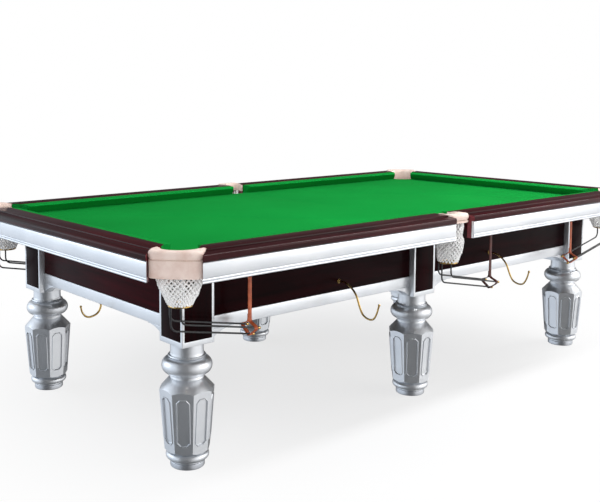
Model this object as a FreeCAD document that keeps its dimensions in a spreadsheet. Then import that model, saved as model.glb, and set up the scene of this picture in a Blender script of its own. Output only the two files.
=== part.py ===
# Pool table with six turned legs, three slates, net pockets and ball runners.
# Origin on the floor under the table's centre, X along the long side, Y to the back, Z up.
# Lengths are in millimetres.
import FreeCAD
import Part
import Sketcher
import math
import os
import re
from FreeCAD import Placement, Rotation, Vector

doc = FreeCAD.newDocument("pool_table")
sheet = doc.addObject("Spreadsheet::Sheet", "sizes")


# ---------------------------------------------------------------- sizes
SIZES = """
table_length 3160 outer length over the rail caps
table_width 1748 outer width over the rail caps
bed_height 830 top of the bed cloth above the floor
cloth_thick 1.5 bed cloth
slate_thick 45 each of the three slates
slate_inset 135 rail's outer face to the slate's edge
rail_width 138 width of the wooden cap
rail_top 876 crown of the cap
rail_edge 870 cap height at its outer edge
rail_flat 84 flat part of the cap, next to the cushion
cap_under 844 underside of the cap
subrail_outer 80 rail's outer face to the bolted sub-rail
subrail_low 790 bottom of the sub-rail
skirt_in 15 rail's outer face to the wooden skirt
skirt_thick 22 wooden skirt behind the apron
skirt_low 765 bottom of the skirt
cushion_width 47 cushion, cap to nose
cushion_rear 874 cushion height at the cap
cushion_nose 867 height of the nose
cushion_foot 22 width of the cushion's base
nose_round 3 nose to the end of the cushion's flat top
nose_crown 2 rise from the nose to the cushion's flat top
nose_under 2 nose to the end of its blunt front
nose_fall 6 height of the nose's blunt front
apron_in 3 reveal between the cap's face and the apron
apron_low 787 bottom of the painted apron
bead_in 1 reveal between the cap's face and the bead
bead_low 768 bottom of the bead
bead_round 5 height of the bead's bevels
bead_bevel 4 depth of the bead's bevels
channel_half 98 half width of the gap between rails at a corner
middle_outer 64 half width of the gap at a middle pocket, outside
middle_inner 44 half width of the gap at a middle pocket, inside
jaw_nose 249 corner to the cushion's nose tip
jaw_rear 277 corner to the cushion's rear tip
middle_jaw 56 middle pocket centre to the nose tip
jaw_back 2 cap's end to the cushion's rear tip at a middle pocket
hole_offset 165 rail faces to the corner pocket's hole centre
hole_radius 62 hole in the corner leather
slate_hole 66 notch in the slate at a corner pocket
middle_offset 112 rail face to the middle pocket's hole centre
middle_radius 44 hole in the middle leather
middle_notch 48 notch in the slate at a middle pocket
leather_top 880 crown of the pocket leather
leather_low 783 bottom of the corner leather
leather_front 100 corner to the leather's front, along the diagonal
leather_back 290 corner to the leather's back, along the diagonal
leather_slot 100 opening between the leather's arms
middle_low 838 bottom of the middle leather
middle_front 30 rail face to the middle leather's front
middle_slot 40 half width of the way into the middle leather
middle_reveal 2 cap's inner edge to the middle leather's end
net_offset 150 rail faces to the corner net's centre
net_top_radius 84 corner net at the leather
middle_net_offset 94 rail face to the middle net's centre
middle_net_radius 47 middle net at the leather
net_thick 3 cord thickness of the net
ring_radius 41 net ring, to the middle of its wire
ring_wire 4 wire radius of the net ring
ring_height 668 corner ring above the floor
middle_ring_height 655 middle ring above the floor
rod_radius 3.5 runner rod
runner_reach 330 net centre to the runner's end
runner_slope 11.3 fall of the runner in degrees
runner_half 35 runner centre to a side rod
runner_bend 30 bend radius of the rods
side_drop 36 ring to the bend of a side rod
keel_drop 63 ring to the bend of the lowest rod
ferrule_radius 5.5 brass end cap of a rod
ferrule_length 12 brass end cap of a rod
strap_width 18 leather strap
strap_thick 3 leather strap
strap_back 21 runner's end to the strap's far edge
cleat_size 30 block that holds the strap
strap_room 5 side rod to the strap's inside
strap_sag 5.8 lowest rod to the strap's inside
loop_rise 2.6 top of the strap's loop over the lowest rod, in half widths of the runner
loop_waist 0.9 widest place of the loop over the lowest rod, in half widths of the runner
screw_radius 3.5 head of a strap screw
screw_head 3 head of a strap screw
screw_low 8 lower screw above the cleat's bottom
screw_high 20 upper screw above the cleat's bottom
post_size 148 square post above each leg
post_end_inset 210 cap's end face to the corner posts' outer face
post_side_inset 225 cap's side face to the posts' outer face
post_low 480 bottom of the posts
panel_border 11 painted border beside a post's panel
panel_rise 20 painted border under a post's panel
panel_thick 5 mahogany panel let into a post
beam_setback 27 post face to the beam's face
beam_thick 35 frame beam
band_top 573 joint between the beam and the painted band
band_low 524 bottom of the painted band
band_proud 4 band's face in front of the beam
bracket_length 115 bracket under the band's end
bracket_toe 2 bracket height at its thin end
cross_thick 45 middle cross beam
cross_low 640 bottom of the middle cross beam
batten_width 60 batten under a slate joint
batten_depth 45 batten under a slate joint
neck_radius 64 leg neck
bulb_radius 97 leg's upper bulb
bulb_half 36 half height of the upper bulb
bulb_height 393 centre of the upper bulb
cap_top 344 top of the octagonal shoulder
shaft_top 310 top of the octagonal shaft
shaft_low 70 bottom of the octagonal shaft
shaft_top_flat 100 centre to a flat, at the shaft's top
shaft_low_flat 82 centre to a flat, at the shaft's bottom
shoulder_flat 66 centre to a flat, at the shoulder's top
ring_bead_radius 83 leg's lower bead
ring_bead_half 16 half height of the lower bead
ring_bead_height 46 centre of the lower bead
sunk_width 54 sunk panel in a shaft flat
sunk_low 98 bottom of the sunk panels
sunk_high 284 top of the sunk panels
sunk_chamfer 14 corner cut of the sunk panels
sunk_depth 3 depth of the sunk panels
foot_radius 66 levelling foot
foot_thick 22 levelling foot
foot_chamfer 3 levelling foot's lower edge
stud_radius 12 levelling stud
stud_top 104 top of the levelling stud
stud_room 22 free bore above the stud
play 0.3 running gap
lap 1 overlap of joined shapes and overrun of cutting ones
dowel_radius 10 threaded dowel between leg and post
dowel_half 55 half length of the dowel
bolt_radius 11 rail bolt head
bolt_thick 9 rail bolt head
bolt_height 808 rail bolts above the floor
hook_x 533 rest hooks from the table's centre
hook_height 614 rest hook's plate
hook_reach 229 rest hook's tip from the beam
hook_drop 133 rest hook's lowest point below its plate
hook_wire 4 wire radius of a hook
hook_plate 10 plate radius of a hook
plate_thick 6 plate thickness of a hook
end_hook_reach 96 end hook's tip from its root
end_hook_drop 46 end hook's lowest point below the band
"""

row = 0
for line in SIZES.strip().splitlines():
    alias, value, note = line.split(" ", 2)
    row += 1
    sheet.set(f"A{row}", alias)
    sheet.set(f"B{row}", value)
    sheet.set(f"C{row}", note)
    sheet.setAlias(f"B{row}", alias)
doc.recompute()
NAMES = [line.split(" ", 1)[0] for line in SIZES.strip().splitlines()]
WORD = re.compile(r"\b(" + "|".join(sorted(NAMES, key=len, reverse=True)) + r")\b")


def size(alias):
    """One size as a plain number."""
    return float(sheet.get(alias))


def ex(text):
    """An expression on the sheet, from one that uses bare size names."""
    return WORD.sub(r"sizes.\1", str(text))


# ---------------------------------------------------------------- solid makers
def place(obj, x="0", y="0", z="0"):
    """Bind an object's position."""
    obj.setExpression("Placement.Base.x", ex(x))
    obj.setExpression("Placement.Base.y", ex(y))
    obj.setExpression("Placement.Base.z", ex(z))
    return obj


def box(name, x, y, z):
    """Box between (low, high) pairs of expressions on each axis."""
    obj = doc.addObject("Part::Box", name)
    for prop, pair in (("Length", x), ("Width", y), ("Height", z)):
        obj.setExpression(prop, ex(f"({pair[1]}) - ({pair[0]})"))
    return place(obj, x[0], y[0], z[0])


def cylinder(name, radius, x, y, z, high):
    """Upright cylinder from z to high."""
    obj = doc.addObject("Part::Cylinder", name)
    obj.setExpression("Radius", ex(radius))
    obj.setExpression("Height", ex(f"({high}) - ({z})"))
    return place(obj, x, y, z)


def cone(name, low_radius, high_radius, x, y, z, high):
    """Upright frustum from z to high."""
    obj = doc.addObject("Part::Cone", name)
    obj.setExpression("Radius1", ex(low_radius))
    obj.setExpression("Radius2", ex(high_radius))
    obj.setExpression("Height", ex(f"({high}) - ({z})"))
    return place(obj, x, y, z)


def torus(name, centre_radius, wire, x, y, z):
    """Level torus."""
    obj = doc.addObject("Part::Torus", name)
    obj.setExpression("Radius1", ex(centre_radius))
    obj.setExpression("Radius2", ex(wire))
    return place(obj, x, y, z)


def prism(name, plane, corners, length):
    """Polygon pad, centred on an origin plane; each corner is two expressions."""
    body = doc.addObject("PartDesign::Body", name)
    origin = [f for f in body.Origin.OriginFeatures if f.Role == plane][0]
    sketch = body.newObject("Sketcher::SketchObject", name + "_sketch")
    sketch.AttachmentSupport = (origin, [""])
    sketch.MapMode = "FlatFace"
    points = [Vector(value(a), value(b), 0) for a, b in corners]
    count = len(points)
    for i in range(count):
        sketch.addGeometry(Part.LineSegment(points[i], points[(i + 1) % count]), False)
    for i in range(count):
        sketch.addConstraint(Sketcher.Constraint("Coincident", i, 2, (i + 1) % count, 1))
    for i, (a, b) in enumerate(corners):
        for kind, text, now in (("DistanceX", a, points[i].x), ("DistanceY", b, points[i].y)):
            index = sketch.addConstraint(Sketcher.Constraint(kind, -1, 1, i, 1, now))
            label = f"{kind[-1].lower()}{i}"
            sketch.renameConstraint(index, label)
            sketch.setExpression("Constraints." + label, ex(text))
    pad = body.newObject("PartDesign::Pad", name + "_pad")
    pad.Profile = sketch
    pad.Midplane = True
    pad.setExpression("Length", ex(length))
    sketch.Visibility = False
    return body


def value(text):
    """Evaluate an expression on the sheet."""
    return float(sheet.evalExpression(ex(text).replace("sizes.", "")))


def cut(name, base, *tools):
    """Base less the tools."""
    tool = tools[0] if len(tools) == 1 else fuse(name + "_tools", *tools)
    obj = doc.addObject("Part::Cut", name)
    obj.Base = base
    obj.Tool = tool
    return obj


def fuse(name, *shapes):
    """One solid from several."""
    obj = doc.addObject("Part::MultiFuse", name)
    obj.Shapes = list(shapes)
    return obj


def common(name, *shapes):
    """The space that all the shapes share."""
    obj = doc.addObject("Part::MultiCommon", name)
    obj.Shapes = list(shapes)
    return obj


def mirror(name, source, normal):
    """Mirror image in a plane through the origin."""
    obj = doc.addObject("Part::Mirroring", name)
    obj.Source = source
    obj.Normal = normal
    return obj


def group(name, *shapes):
    """Separate solids under one name."""
    obj = doc.addObject("Part::Compound", name)
    obj.Links = list(shapes)
    return obj


def shaped(name, shape):
    """A swept or folded piece, its sizes already read from the sheet."""
    obj = doc.addObject("Part::Feature", name)
    obj.Shape = shape
    obj.Placement = Placement()
    return obj


ACROSS = Vector(1, 0, 0)
ALONG = Vector(0, 1, 0)
NODES = []


def node(obj, label):
    """Mark an object as a sub-part of the table."""
    obj.Label = label
    NODES.append(obj)
    return obj


def four(source, label):
    """The front-left piece and its three mirror images, as one group."""
    right = mirror(label + "_r", source, ACROSS)
    back = mirror(label + "_b", source, ALONG)
    corner = mirror(label + "_rb", right, ALONG)
    return node(group(label + "_group", source, right, back, corner), label)


def two(source, label, normal):
    """A piece and its mirror image, as one group."""
    return node(group(label + "_group", source, mirror(label + "_m", source, normal)), label)


# ---------------------------------------------------------------- legs and levelling feet
def leg(tag, x, y):
    """Turned leg: bead, octagonal shaft with sunk panels, shoulder, bulb and neck."""
    low = "foot_thick + play"
    base = cylinder(f"leg_base_{tag}", "foot_radius", x, y, low, "shaft_low + lap")
    bead = torus(f"leg_bead_{tag}", "ring_bead_radius - ring_bead_half", "ring_bead_half",
                 x, y, "ring_bead_height")
    shaft = octagon(f"leg_shaft_{tag}", "shaft_low_flat", "shaft_top_flat", x, y, "shaft_low", "shaft_top")
    shoulder = octagon(f"leg_shoulder_{tag}", "shaft_top_flat", "shoulder_flat", x, y, "shaft_top", "cap_top")
    neck = cylinder(f"leg_neck_{tag}", "neck_radius", x, y, "cap_top - lap", "post_low")
    bulb = torus(f"leg_bulb_{tag}", "bulb_radius - bulb_half", "bulb_half", x, y, "bulb_height")
    whole = fuse(f"leg_blank_{tag}", base, bead, shaft, shoulder, neck, bulb)
    tools = [cylinder(f"leg_bore_{tag}", "stud_radius + play", x, y, "0", "stud_top + stud_room")]
    tools.append(cylinder(f"leg_dowel_hole_{tag}", "dowel_radius + play", x, y,
                          "post_low - dowel_half - play", "post_low + lap"))
    tools += [sunk_panel(f"leg_sunk_{tag}_{turn}", x, y, 45 * turn) for turn in range(8)]
    return node(cut(f"leg_{tag}", whole, *tools), f"leg_{tag}")


def octagon(name, low_flat, high_flat, x, y, low, high):
    """Octagonal frustum whose flats face the table's sides and corners."""
    rings = []
    for end, flat, z in (("low", low_flat, low), ("high", high_flat, high)):
        ring = doc.addObject("Part::RegularPolygon", f"{name}_{end}")
        ring.Polygon = 8
        ring.setExpression("Circumradius", ex(f"({flat}) / cos(22.5)"))
        ring.Placement = Placement(Vector(), Rotation(Vector(0, 0, 1), 22.5))
        rings.append(place(ring, x, y, z))
    loft = doc.addObject("Part::Loft", name)
    loft.Sections = rings
    loft.Solid = True
    loft.Ruled = True
    return loft


def sunk_panel(name, x, y, angle):
    """Elongated panel with cut corners, let into one flat of the shaft."""
    rise = size("shaft_top") - size("shaft_low")
    lean = (size("shaft_top_flat") - size("shaft_low_flat")) / rise
    low, high = size("sunk_low"), size("sunk_high")
    half, chamfer = size("sunk_width") / 2, size("sunk_chamfer")
    outline = [(-half, low + chamfer), (-half, high - chamfer), (-half + chamfer, high),
               (half - chamfer, high), (half, high - chamfer), (half, low + chamfer),
               (half - chamfer, low), (-half + chamfer, low)]

    def on_face(side, z):
        return Vector(size("shaft_low_flat") + lean * (z - size("shaft_low")), side, z)

    wire = Part.makePolygon([on_face(a, b) for a, b in outline + outline[:1]])
    face = Part.Face(wire)
    normal = Vector(1, 0, -lean).normalize()
    face.translate(normal * -size("sunk_depth"))
    solid = face.extrude(normal * 4 * size("sunk_depth"))
    solid.rotate(Vector(), Vector(0, 0, 1), angle)
    obj = shaped(name, solid)
    return place(obj, x, y, "0")


def foot(tag, x, y):
    """Levelling foot: a disc with a chamfered edge and a stud."""
    rim = cone(f"foot_rim_{tag}", "foot_radius - foot_chamfer", "foot_radius", x, y, "0", "foot_chamfer")
    disc = cylinder(f"foot_disc_{tag}", "foot_radius", x, y, "foot_chamfer", "foot_thick")
    stud = cylinder(f"foot_stud_{tag}", "stud_radius", x, y, "foot_thick - lap", "stud_top")
    return node(fuse(f"levelling_foot_{tag}", rim, disc, stud), f"levelling_foot_{tag}")


POST_X = "(table_length / 2 - post_end_inset - post_size / 2)"
POST_Y = "(table_width / 2 - post_side_inset - post_size / 2)"
PLACES = {"front_left": (f"-{POST_X}", f"-{POST_Y}"), "front_middle": ("0", f"-{POST_Y}"),
          "front_right": (POST_X, f"-{POST_Y}"), "back_left": (f"-{POST_X}", POST_Y),
          "back_middle": ("0", POST_Y), "back_right": (POST_X, POST_Y)}

dowels = []
for tag, (x, y) in PLACES.items():
    leg(tag, x, y)
    foot(tag, x, y)
    dowels.append(cylinder(f"dowel_{tag}", "dowel_radius", x, y,
                           "post_low - dowel_half", "post_low + dowel_half"))
node(group("leg_dowels_group", *dowels), "leg_dowels")


# ---------------------------------------------------------------- posts and their panels
FRAME_TOP = "(bed_height - cloth_thick - slate_thick)"
HALF_POST = "(post_size / 2)"


def post(tag, x):
    """Square post with let-in panels on its outer faces."""
    low_y = f"-{POST_Y} - {HALF_POST}"
    block = box(f"post_{tag}", (f"{x} - {HALF_POST}", f"{x} + {HALF_POST}"),
                (low_y, f"-{POST_Y} + {HALF_POST}"), ("post_low", FRAME_TOP))
    heights = ("post_low + panel_rise", FRAME_TOP)
    sides = [((f"{x} - {HALF_POST} + panel_border", f"{x} + {HALF_POST} - panel_border"),
              (low_y, f"{low_y} + panel_thick"))]
    if tag == "corner":
        sides.append(((f"{x} - {HALF_POST}", f"{x} - {HALF_POST} + panel_thick"),
                      (f"{low_y} + panel_border", f"-{POST_Y} + {HALF_POST} - panel_border")))
    panels = [box(f"panel_{tag}_{i}", a, b, heights) for i, (a, b) in enumerate(sides)]
    hole = cylinder(f"post_hole_{tag}", "dowel_radius + play", x, f"-{POST_Y}",
                    "post_low - lap", "post_low + dowel_half + play")
    return cut(f"post_cut_{tag}", block, hole, *panels), panels


corner_post, corner_panels = post("corner", f"-{POST_X}")
middle_post, middle_panels = post("middle", "0")
four(corner_post, "corner_posts")
two(middle_post, "middle_posts", ALONG)
panel_set = group("front_panels", *corner_panels)
panel_right = mirror("front_panels_r", panel_set, ACROSS)
all_front = [panel_set, panel_right] + middle_panels
panel_images = [mirror(f"panel_image_{i}", obj, ALONG) for i, obj in enumerate(all_front)]
node(group("post_panels_group", *all_front, *panel_images), "post_panels")


# ---------------------------------------------------------------- frame beams, bands and brackets
SIDE_FACE = f"(-{POST_Y} - {HALF_POST} + beam_setback)"
END_FACE = f"(-{POST_X} - {HALF_POST} + beam_setback)"
BAY = (f"-{POST_X} + {HALF_POST}", f"-{HALF_POST}")
END_BAY = (f"-{POST_Y} + {HALF_POST}", f"{POST_Y} - {HALF_POST}")

side_beam = box("side_beam", BAY, (SIDE_FACE, f"{SIDE_FACE} + beam_thick"), ("band_top", FRAME_TOP))
side_beam_right = mirror("side_beam_right", side_beam, ACROSS)
node(side_beam, "side_beam_front_left")
node(side_beam_right, "side_beam_front_right")
node(mirror("side_beam_back", side_beam, ALONG), "side_beam_back_left")
node(mirror("side_beam_back_r", side_beam_right, ALONG), "side_beam_back_right")

end_beam = box("end_beam", (END_FACE, f"{END_FACE} + beam_thick"), END_BAY, ("band_top", FRAME_TOP))
node(end_beam, "end_beam_left")
node(mirror("end_beam_r", end_beam, ACROSS), "end_beam_right")

cross_beam = box("cross_beam", ("-cross_thick / 2", "cross_thick / 2"), END_BAY, ("cross_low", FRAME_TOP))
node(cross_beam, "cross_beam")

BAND_DEPTH = "beam_thick + 2 * band_proud"
side_band = box("side_band", BAY, (f"{SIDE_FACE} - band_proud", f"{SIDE_FACE} - band_proud + {BAND_DEPTH}"),
                ("band_low", "band_top"))
four(side_band, "side_bands")
end_band = box("end_band", (f"{END_FACE} - band_proud", f"{END_FACE} - band_proud + {BAND_DEPTH}"),
               END_BAY, ("band_low", "band_top"))
two(end_band, "end_bands", ACROSS)


def bracket(tag, x, y, turn, sign):
    """Bracket under a band, its arc rising from the post to the band."""
    drop = "(band_low - post_low - bracket_toe)"
    blank = doc.addObject("Part::Box", f"bracket_blank_{tag}")
    blank.setExpression("Length", ex("bracket_length"))
    blank.setExpression("Width", ex(BAND_DEPTH))
    blank.setExpression("Height", ex("band_low - post_low"))
    arc = doc.addObject("Part::Cylinder", f"bracket_arc_{tag}")
    radius = f"((bracket_length * bracket_length + {drop} * {drop}) / (2 * {drop}))"
    arc.setExpression("Radius", ex(radius))
    arc.setExpression("Height", ex(f"{BAND_DEPTH} + 2 * lap"))
    arc.Placement = Placement(Vector(), Rotation(Vector(1, 0, 0), 90))
    place(arc, "bracket_length", f"{BAND_DEPTH} + lap", f"{drop} - {radius}")
    shape = cut(f"bracket_cut_{tag}", blank, arc)
    if sign < 0:
        shape = mirror(f"bracket_flip_{tag}", shape, ACROSS)
    holder = group(f"bracket_{tag}", shape)
    holder.Placement = Placement(Vector(), Rotation(Vector(0, 0, 1), turn))
    return place(holder, x, y, "post_low")


brackets = []
band_front = f"{SIDE_FACE} - band_proud"
brackets.append(bracket("corner", BAY[0], band_front, 0, 1))
brackets.append(bracket("middle", BAY[1], band_front, 0, -1))
brackets.append(bracket("end", f"{END_FACE} - band_proud + {BAND_DEPTH}", END_BAY[0], 90, 1))
right_set = [mirror(f"bracket_r_{i}", obj, ACROSS) for i, obj in enumerate(brackets)]
back_set = [mirror(f"bracket_b_{i}", obj, ALONG) for i, obj in enumerate(brackets + right_set)]
node(group("band_brackets_group", *brackets, *right_set, *back_set), "band_brackets")


# ---------------------------------------------------------------- slates, battens and bed cloth
HALF_L = "(table_length / 2)"
HALF_W = "(table_width / 2)"
SLATE_X = f"({HALF_L} - slate_inset)"
SLATE_Y = f"({HALF_W} - slate_inset)"
SLATE_TOP = "(bed_height - cloth_thick)"


def pocket_tools(name, low, high, corner_radius, middle_radius):
    """Cylinders at the six pockets."""
    tools = []
    for i, (sx, sy) in enumerate(((-1, -1), (1, -1), (-1, 1), (1, 1))):
        tools.append(cylinder(f"{name}_corner_{i}", corner_radius, f"{sx} * ({HALF_L} - hole_offset)",
                              f"{sy} * ({HALF_W} - hole_offset)", low, high))
    for i, sy in enumerate((-1, 1)):
        tools.append(cylinder(f"{name}_middle_{i}", middle_radius, "0",
                              f"{sy} * ({HALF_W} - middle_offset)", low, high))
    return tools


slate_tools = pocket_tools("slate_hole", f"{FRAME_TOP} - lap", f"{SLATE_TOP} + lap",
                           "slate_hole", "middle_notch")
for i, tag in enumerate(("slate_left", "slate_middle", "slate_right")):
    third = f"({SLATE_X} * 2 / 3)"
    low_x = f"-{SLATE_X} + {i} * {third}"
    slab = box(f"{tag}_slab", (low_x, f"{low_x} + {third}"), (f"-{SLATE_Y}", SLATE_Y), (FRAME_TOP, SLATE_TOP))
    node(cut(tag + "_cut", slab, *[doc.copyObject(tool) for tool in slate_tools]), tag)

beam_inner = f"({SIDE_FACE} + beam_thick)"
battens = []
for sx in (-1, 1):
    middle = f"({sx} * {SLATE_X} / 3)"
    battens.append(box(f"batten_{sx + 1}", (f"{middle} - batten_width / 2", f"{middle} + batten_width / 2"),
                       (beam_inner, f"-{beam_inner}"), (f"{FRAME_TOP} - batten_depth", FRAME_TOP)))
node(group("slate_battens_group", *battens), "slate_battens")

cloth = box("cloth_blank", (f"-{SLATE_X}", SLATE_X), (f"-{SLATE_Y}", SLATE_Y), (SLATE_TOP, "bed_height"))
cloth_tools = pocket_tools("cloth_hole", f"{SLATE_TOP} - lap", "bed_height + lap",
                           "slate_hole", "middle_notch")
node(cut("bed_cloth_cut", cloth, *cloth_tools), "bed_cloth")


# ---------------------------------------------------------------- rails, aprons, beads and cushions
CHANNEL = "(channel_half * sqrt(2))"
SIDE_PLAN = [(f"-{HALF_L} + {CHANNEL}", f"-{HALF_W}"), ("-middle_outer", f"-{HALF_W}"),
             ("-middle_inner", f"-{HALF_W} + rail_width"),
             (f"-{HALF_L} + {CHANNEL} + rail_width", f"-{HALF_W} + rail_width")]
END_PLAN = [(f"-{HALF_L}", f"-{HALF_W} + {CHANNEL}"), (f"-{HALF_L}", f"{HALF_W} - {CHANNEL}"),
            (f"-{HALF_L} + rail_width", f"{HALF_W} - {CHANNEL} - rail_width"),
            (f"-{HALF_L} + rail_width", f"-{HALF_W} + {CHANNEL} + rail_width")]
RAIL_SECTION = [("0", "cap_under"), ("0", "rail_edge"), ("rail_width - rail_flat", "rail_top"),
                ("rail_width", "rail_top"), ("rail_width", "cap_under"), ("slate_inset", "cap_under"),
                ("slate_inset", "subrail_low"), ("subrail_outer", "subrail_low"),
                ("subrail_outer", "cap_under"), ("skirt_in + skirt_thick", "cap_under"),
                ("skirt_in + skirt_thick", "skirt_low"), ("skirt_in", "skirt_low"), ("skirt_in", "cap_under")]
APRON_SECTION = [("apron_in", "apron_low"), ("apron_in", "cap_under"), ("skirt_in", "cap_under"),
                 ("skirt_in", "apron_low")]
BEAD_SECTION = [("bead_in + bead_bevel", "bead_low"), ("bead_in", "bead_low + bead_round"),
                ("bead_in", "apron_low - bead_round"), ("bead_in + bead_bevel", "apron_low"),
                ("skirt_in", "apron_low"), ("skirt_in", "bead_low")]
NOSE_BACK = "rail_width + cushion_width"
CUSHION_SECTION = [("rail_width + play", "bed_height + play"), ("rail_width + play", "cushion_rear"),
                   (f"{NOSE_BACK} - nose_round", "cushion_nose + nose_crown"), (NOSE_BACK, "cushion_nose"),
                   (f"{NOSE_BACK} - nose_under", "cushion_nose - nose_fall"),
                   ("rail_width + cushion_foot", "bed_height + play")]
SIDE_JAWS = [(f"-{HALF_L} + jaw_nose", f"-{HALF_W} + {NOSE_BACK} + lap"),
             ("-middle_jaw", f"-{HALF_W} + {NOSE_BACK} + lap"),
             ("-middle_inner - jaw_back", f"-{HALF_W} + rail_width"),
             (f"-{HALF_L} + jaw_rear", f"-{HALF_W} + rail_width")]
END_JAWS = [(f"-{HALF_L} + {NOSE_BACK} + lap", f"-{HALF_W} + jaw_nose"),
            (f"-{HALF_L} + {NOSE_BACK} + lap", f"{HALF_W} - jaw_nose"),
            (f"-{HALF_L} + rail_width", f"{HALF_W} - jaw_rear"),
            (f"-{HALF_L} + rail_width", f"-{HALF_W} + jaw_rear")]


def run_along_side(name, section, plan):
    """A section carried along the front side, ended by a plan outline."""
    bar = prism(name + "_bar", "YZ_Plane", [(f"-{HALF_W} + {a}", b) for a, b in section], "table_length")
    trim = prism(name + "_trim", "XY_Plane", plan, "4 * rail_top")
    return common(name, bar, trim)


def run_along_end(name, section, plan):
    """A section carried along the left end, ended by a plan outline."""
    bar = prism(name + "_bar", "XZ_Plane", [(f"-{HALF_L} + {a}", b) for a, b in section], "table_width")
    trim = prism(name + "_trim", "XY_Plane", plan, "4 * rail_top")
    return common(name, bar, trim)


def six(stem, section, side_plan, end_plan):
    """Four side pieces and two end pieces, each its own sub-part."""
    side = run_along_side(stem + "_side", section, side_plan)
    right = mirror(stem + "_side_r", side, ACROSS)
    end = run_along_end(stem + "_end", section, end_plan)
    node(side, stem + "_front_left")
    node(right, stem + "_front_right")
    node(mirror(stem + "_side_b", side, ALONG), stem + "_back_left")
    node(mirror(stem + "_side_rb", right, ALONG), stem + "_back_right")
    node(end, stem + "_end_left")
    node(mirror(stem + "_end_r", end, ACROSS), stem + "_end_right")


six("rail", RAIL_SECTION, SIDE_PLAN, END_PLAN)
six("cushion", CUSHION_SECTION, SIDE_JAWS, END_JAWS)
four(run_along_side("side_apron", APRON_SECTION, SIDE_PLAN), "side_aprons")
two(run_along_end("end_apron", APRON_SECTION, END_PLAN), "end_aprons", ACROSS)
side_bead = run_along_side("side_bead", BEAD_SECTION, SIDE_PLAN)
end_bead = run_along_end("end_bead", BEAD_SECTION, END_PLAN)
bead_front = group("bead_front", side_bead, mirror("side_bead_r", side_bead, ACROSS))
bead_ends = group("bead_ends", end_bead, mirror("end_bead_r", end_bead, ACROSS))
node(group("apron_beads_group", bead_front, mirror("bead_back", bead_front, ALONG), bead_ends), "apron_beads")


def bolt(name, x, y, axis, angle):
    """Hexagon bolt head against the sub-rail's outer face."""
    head = doc.addObject("Part::Prism", name)
    head.Polygon = 6
    head.setExpression("Circumradius", ex("bolt_radius"))
    head.setExpression("Height", ex("bolt_thick"))
    head.Placement = Placement(Vector(), Rotation(axis, angle))
    return place(head, x, y, "bolt_height")


SIDE_BOLTS = (0.25, 0.5, 0.75)
END_BOLTS = (-0.45, 0, 0.45)
bolts = []
for i, part in enumerate(SIDE_BOLTS):
    run = f"(-{HALF_L} + {part} * {HALF_L})"
    bolts.append(bolt(f"bolt_side_{i}", run, f"-{HALF_W} + subrail_outer", ACROSS, 90))
bolts += [mirror(f"bolt_side_r_{i}", obj, ACROSS) for i, obj in enumerate(bolts)]
bolts += [mirror(f"bolt_side_b_{i}", obj, ALONG) for i, obj in enumerate(bolts)]
ends = [bolt(f"bolt_end_{i}", f"-{HALF_L} + subrail_outer", f"{part} * {HALF_W}", ALONG, -90)
        for i, part in enumerate(END_BOLTS)]
ends += [mirror(f"bolt_end_r_{i}", obj, ACROSS) for i, obj in enumerate(ends)]
node(group("rail_bolts_group", *bolts, *ends), "rail_bolts")


# ---------------------------------------------------------------- pocket leathers and nets
def diagonal_box(name, start, end, width, z):
    """Box along the front-left corner's diagonal, measured from the corner."""
    obj = doc.addObject("Part::Box", name)
    obj.setExpression("Length", ex(f"({end}) - ({start})"))
    obj.setExpression("Width", ex(width))
    obj.setExpression("Height", ex(f"({z[1]}) - ({z[0]})"))
    obj.Placement = Placement(Vector(), Rotation(Vector(0, 0, 1), 45))
    near_x = f"-{HALF_L} + (({start}) + ({width}) / 2) / sqrt(2)"
    near_y = f"-{HALF_W} + (({start}) - ({width}) / 2) / sqrt(2)"
    return place(obj, near_x, near_y, z[0])


leather_blank = diagonal_box("leather_blank", "leather_front", "leather_back", "2 * (channel_half - play)",
                             ("leather_low", "leather_top"))
leather_gap = diagonal_box("leather_gap", "hole_offset * sqrt(2)", "leather_back + lap", "leather_slot",
                           ("leather_low - lap", "leather_top + lap"))
leather_hole = cylinder("leather_hole", "hole_radius", f"-{HALF_L} + hole_offset", f"-{HALF_W} + hole_offset",
                        "leather_low - lap", "leather_top + lap")
leather_step = box("leather_step", (f"-{SLATE_X} - play", "0"), (f"-{SLATE_Y} - play", "0"),
                   ("leather_low - lap", "bed_height + play"))
four(cut("corner_leather", leather_blank, leather_gap, leather_hole, leather_step), "corner_leathers")

TAPER = "((middle_outer - middle_inner) / rail_width)"
MIDDLE_END = "(rail_width - middle_reveal)"
MIDDLE_PLAN = [(f"{sign}(middle_outer - play - {TAPER} * {depth})", f"-{HALF_W} + {depth}")
               for sign, depth in (("-", "middle_front"), ("", "middle_front"),
                                   ("", MIDDLE_END), ("-", MIDDLE_END))]
middle_blank = prism("middle_blank", "XY_Plane", MIDDLE_PLAN, "2 * leather_top")
middle_under = box("middle_under", (f"-{HALF_L}", HALF_L), (f"-{HALF_W}", "0"),
                   ("-leather_top - lap", "middle_low"))
middle_hole = cylinder("middle_hole", "middle_radius", "0", f"-{HALF_W} + middle_offset",
                       "middle_low - lap", "leather_top + lap")
middle_gap = box("middle_gap", ("-middle_slot", "middle_slot"),
                 (f"-{HALF_W} + middle_offset", f"-{HALF_W} + rail_width"),
                 ("middle_low - lap", "leather_top + lap"))
two(cut("middle_leather", middle_blank, middle_under, middle_hole, middle_gap), "middle_leathers", ALONG)


def net(name, x, y, top_radius, low, high):
    """Open funnel of cord, its lower rim on the ring."""
    rim = "(ring_radius + net_thick / 2)"
    outer = cone(name + "_outer", rim, top_radius, x, y, low, high)
    inner = cone(name + "_inner", f"{rim} - net_thick", f"{top_radius} - net_thick", x, y, low, high)
    return cut(name, outer, inner)


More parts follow.
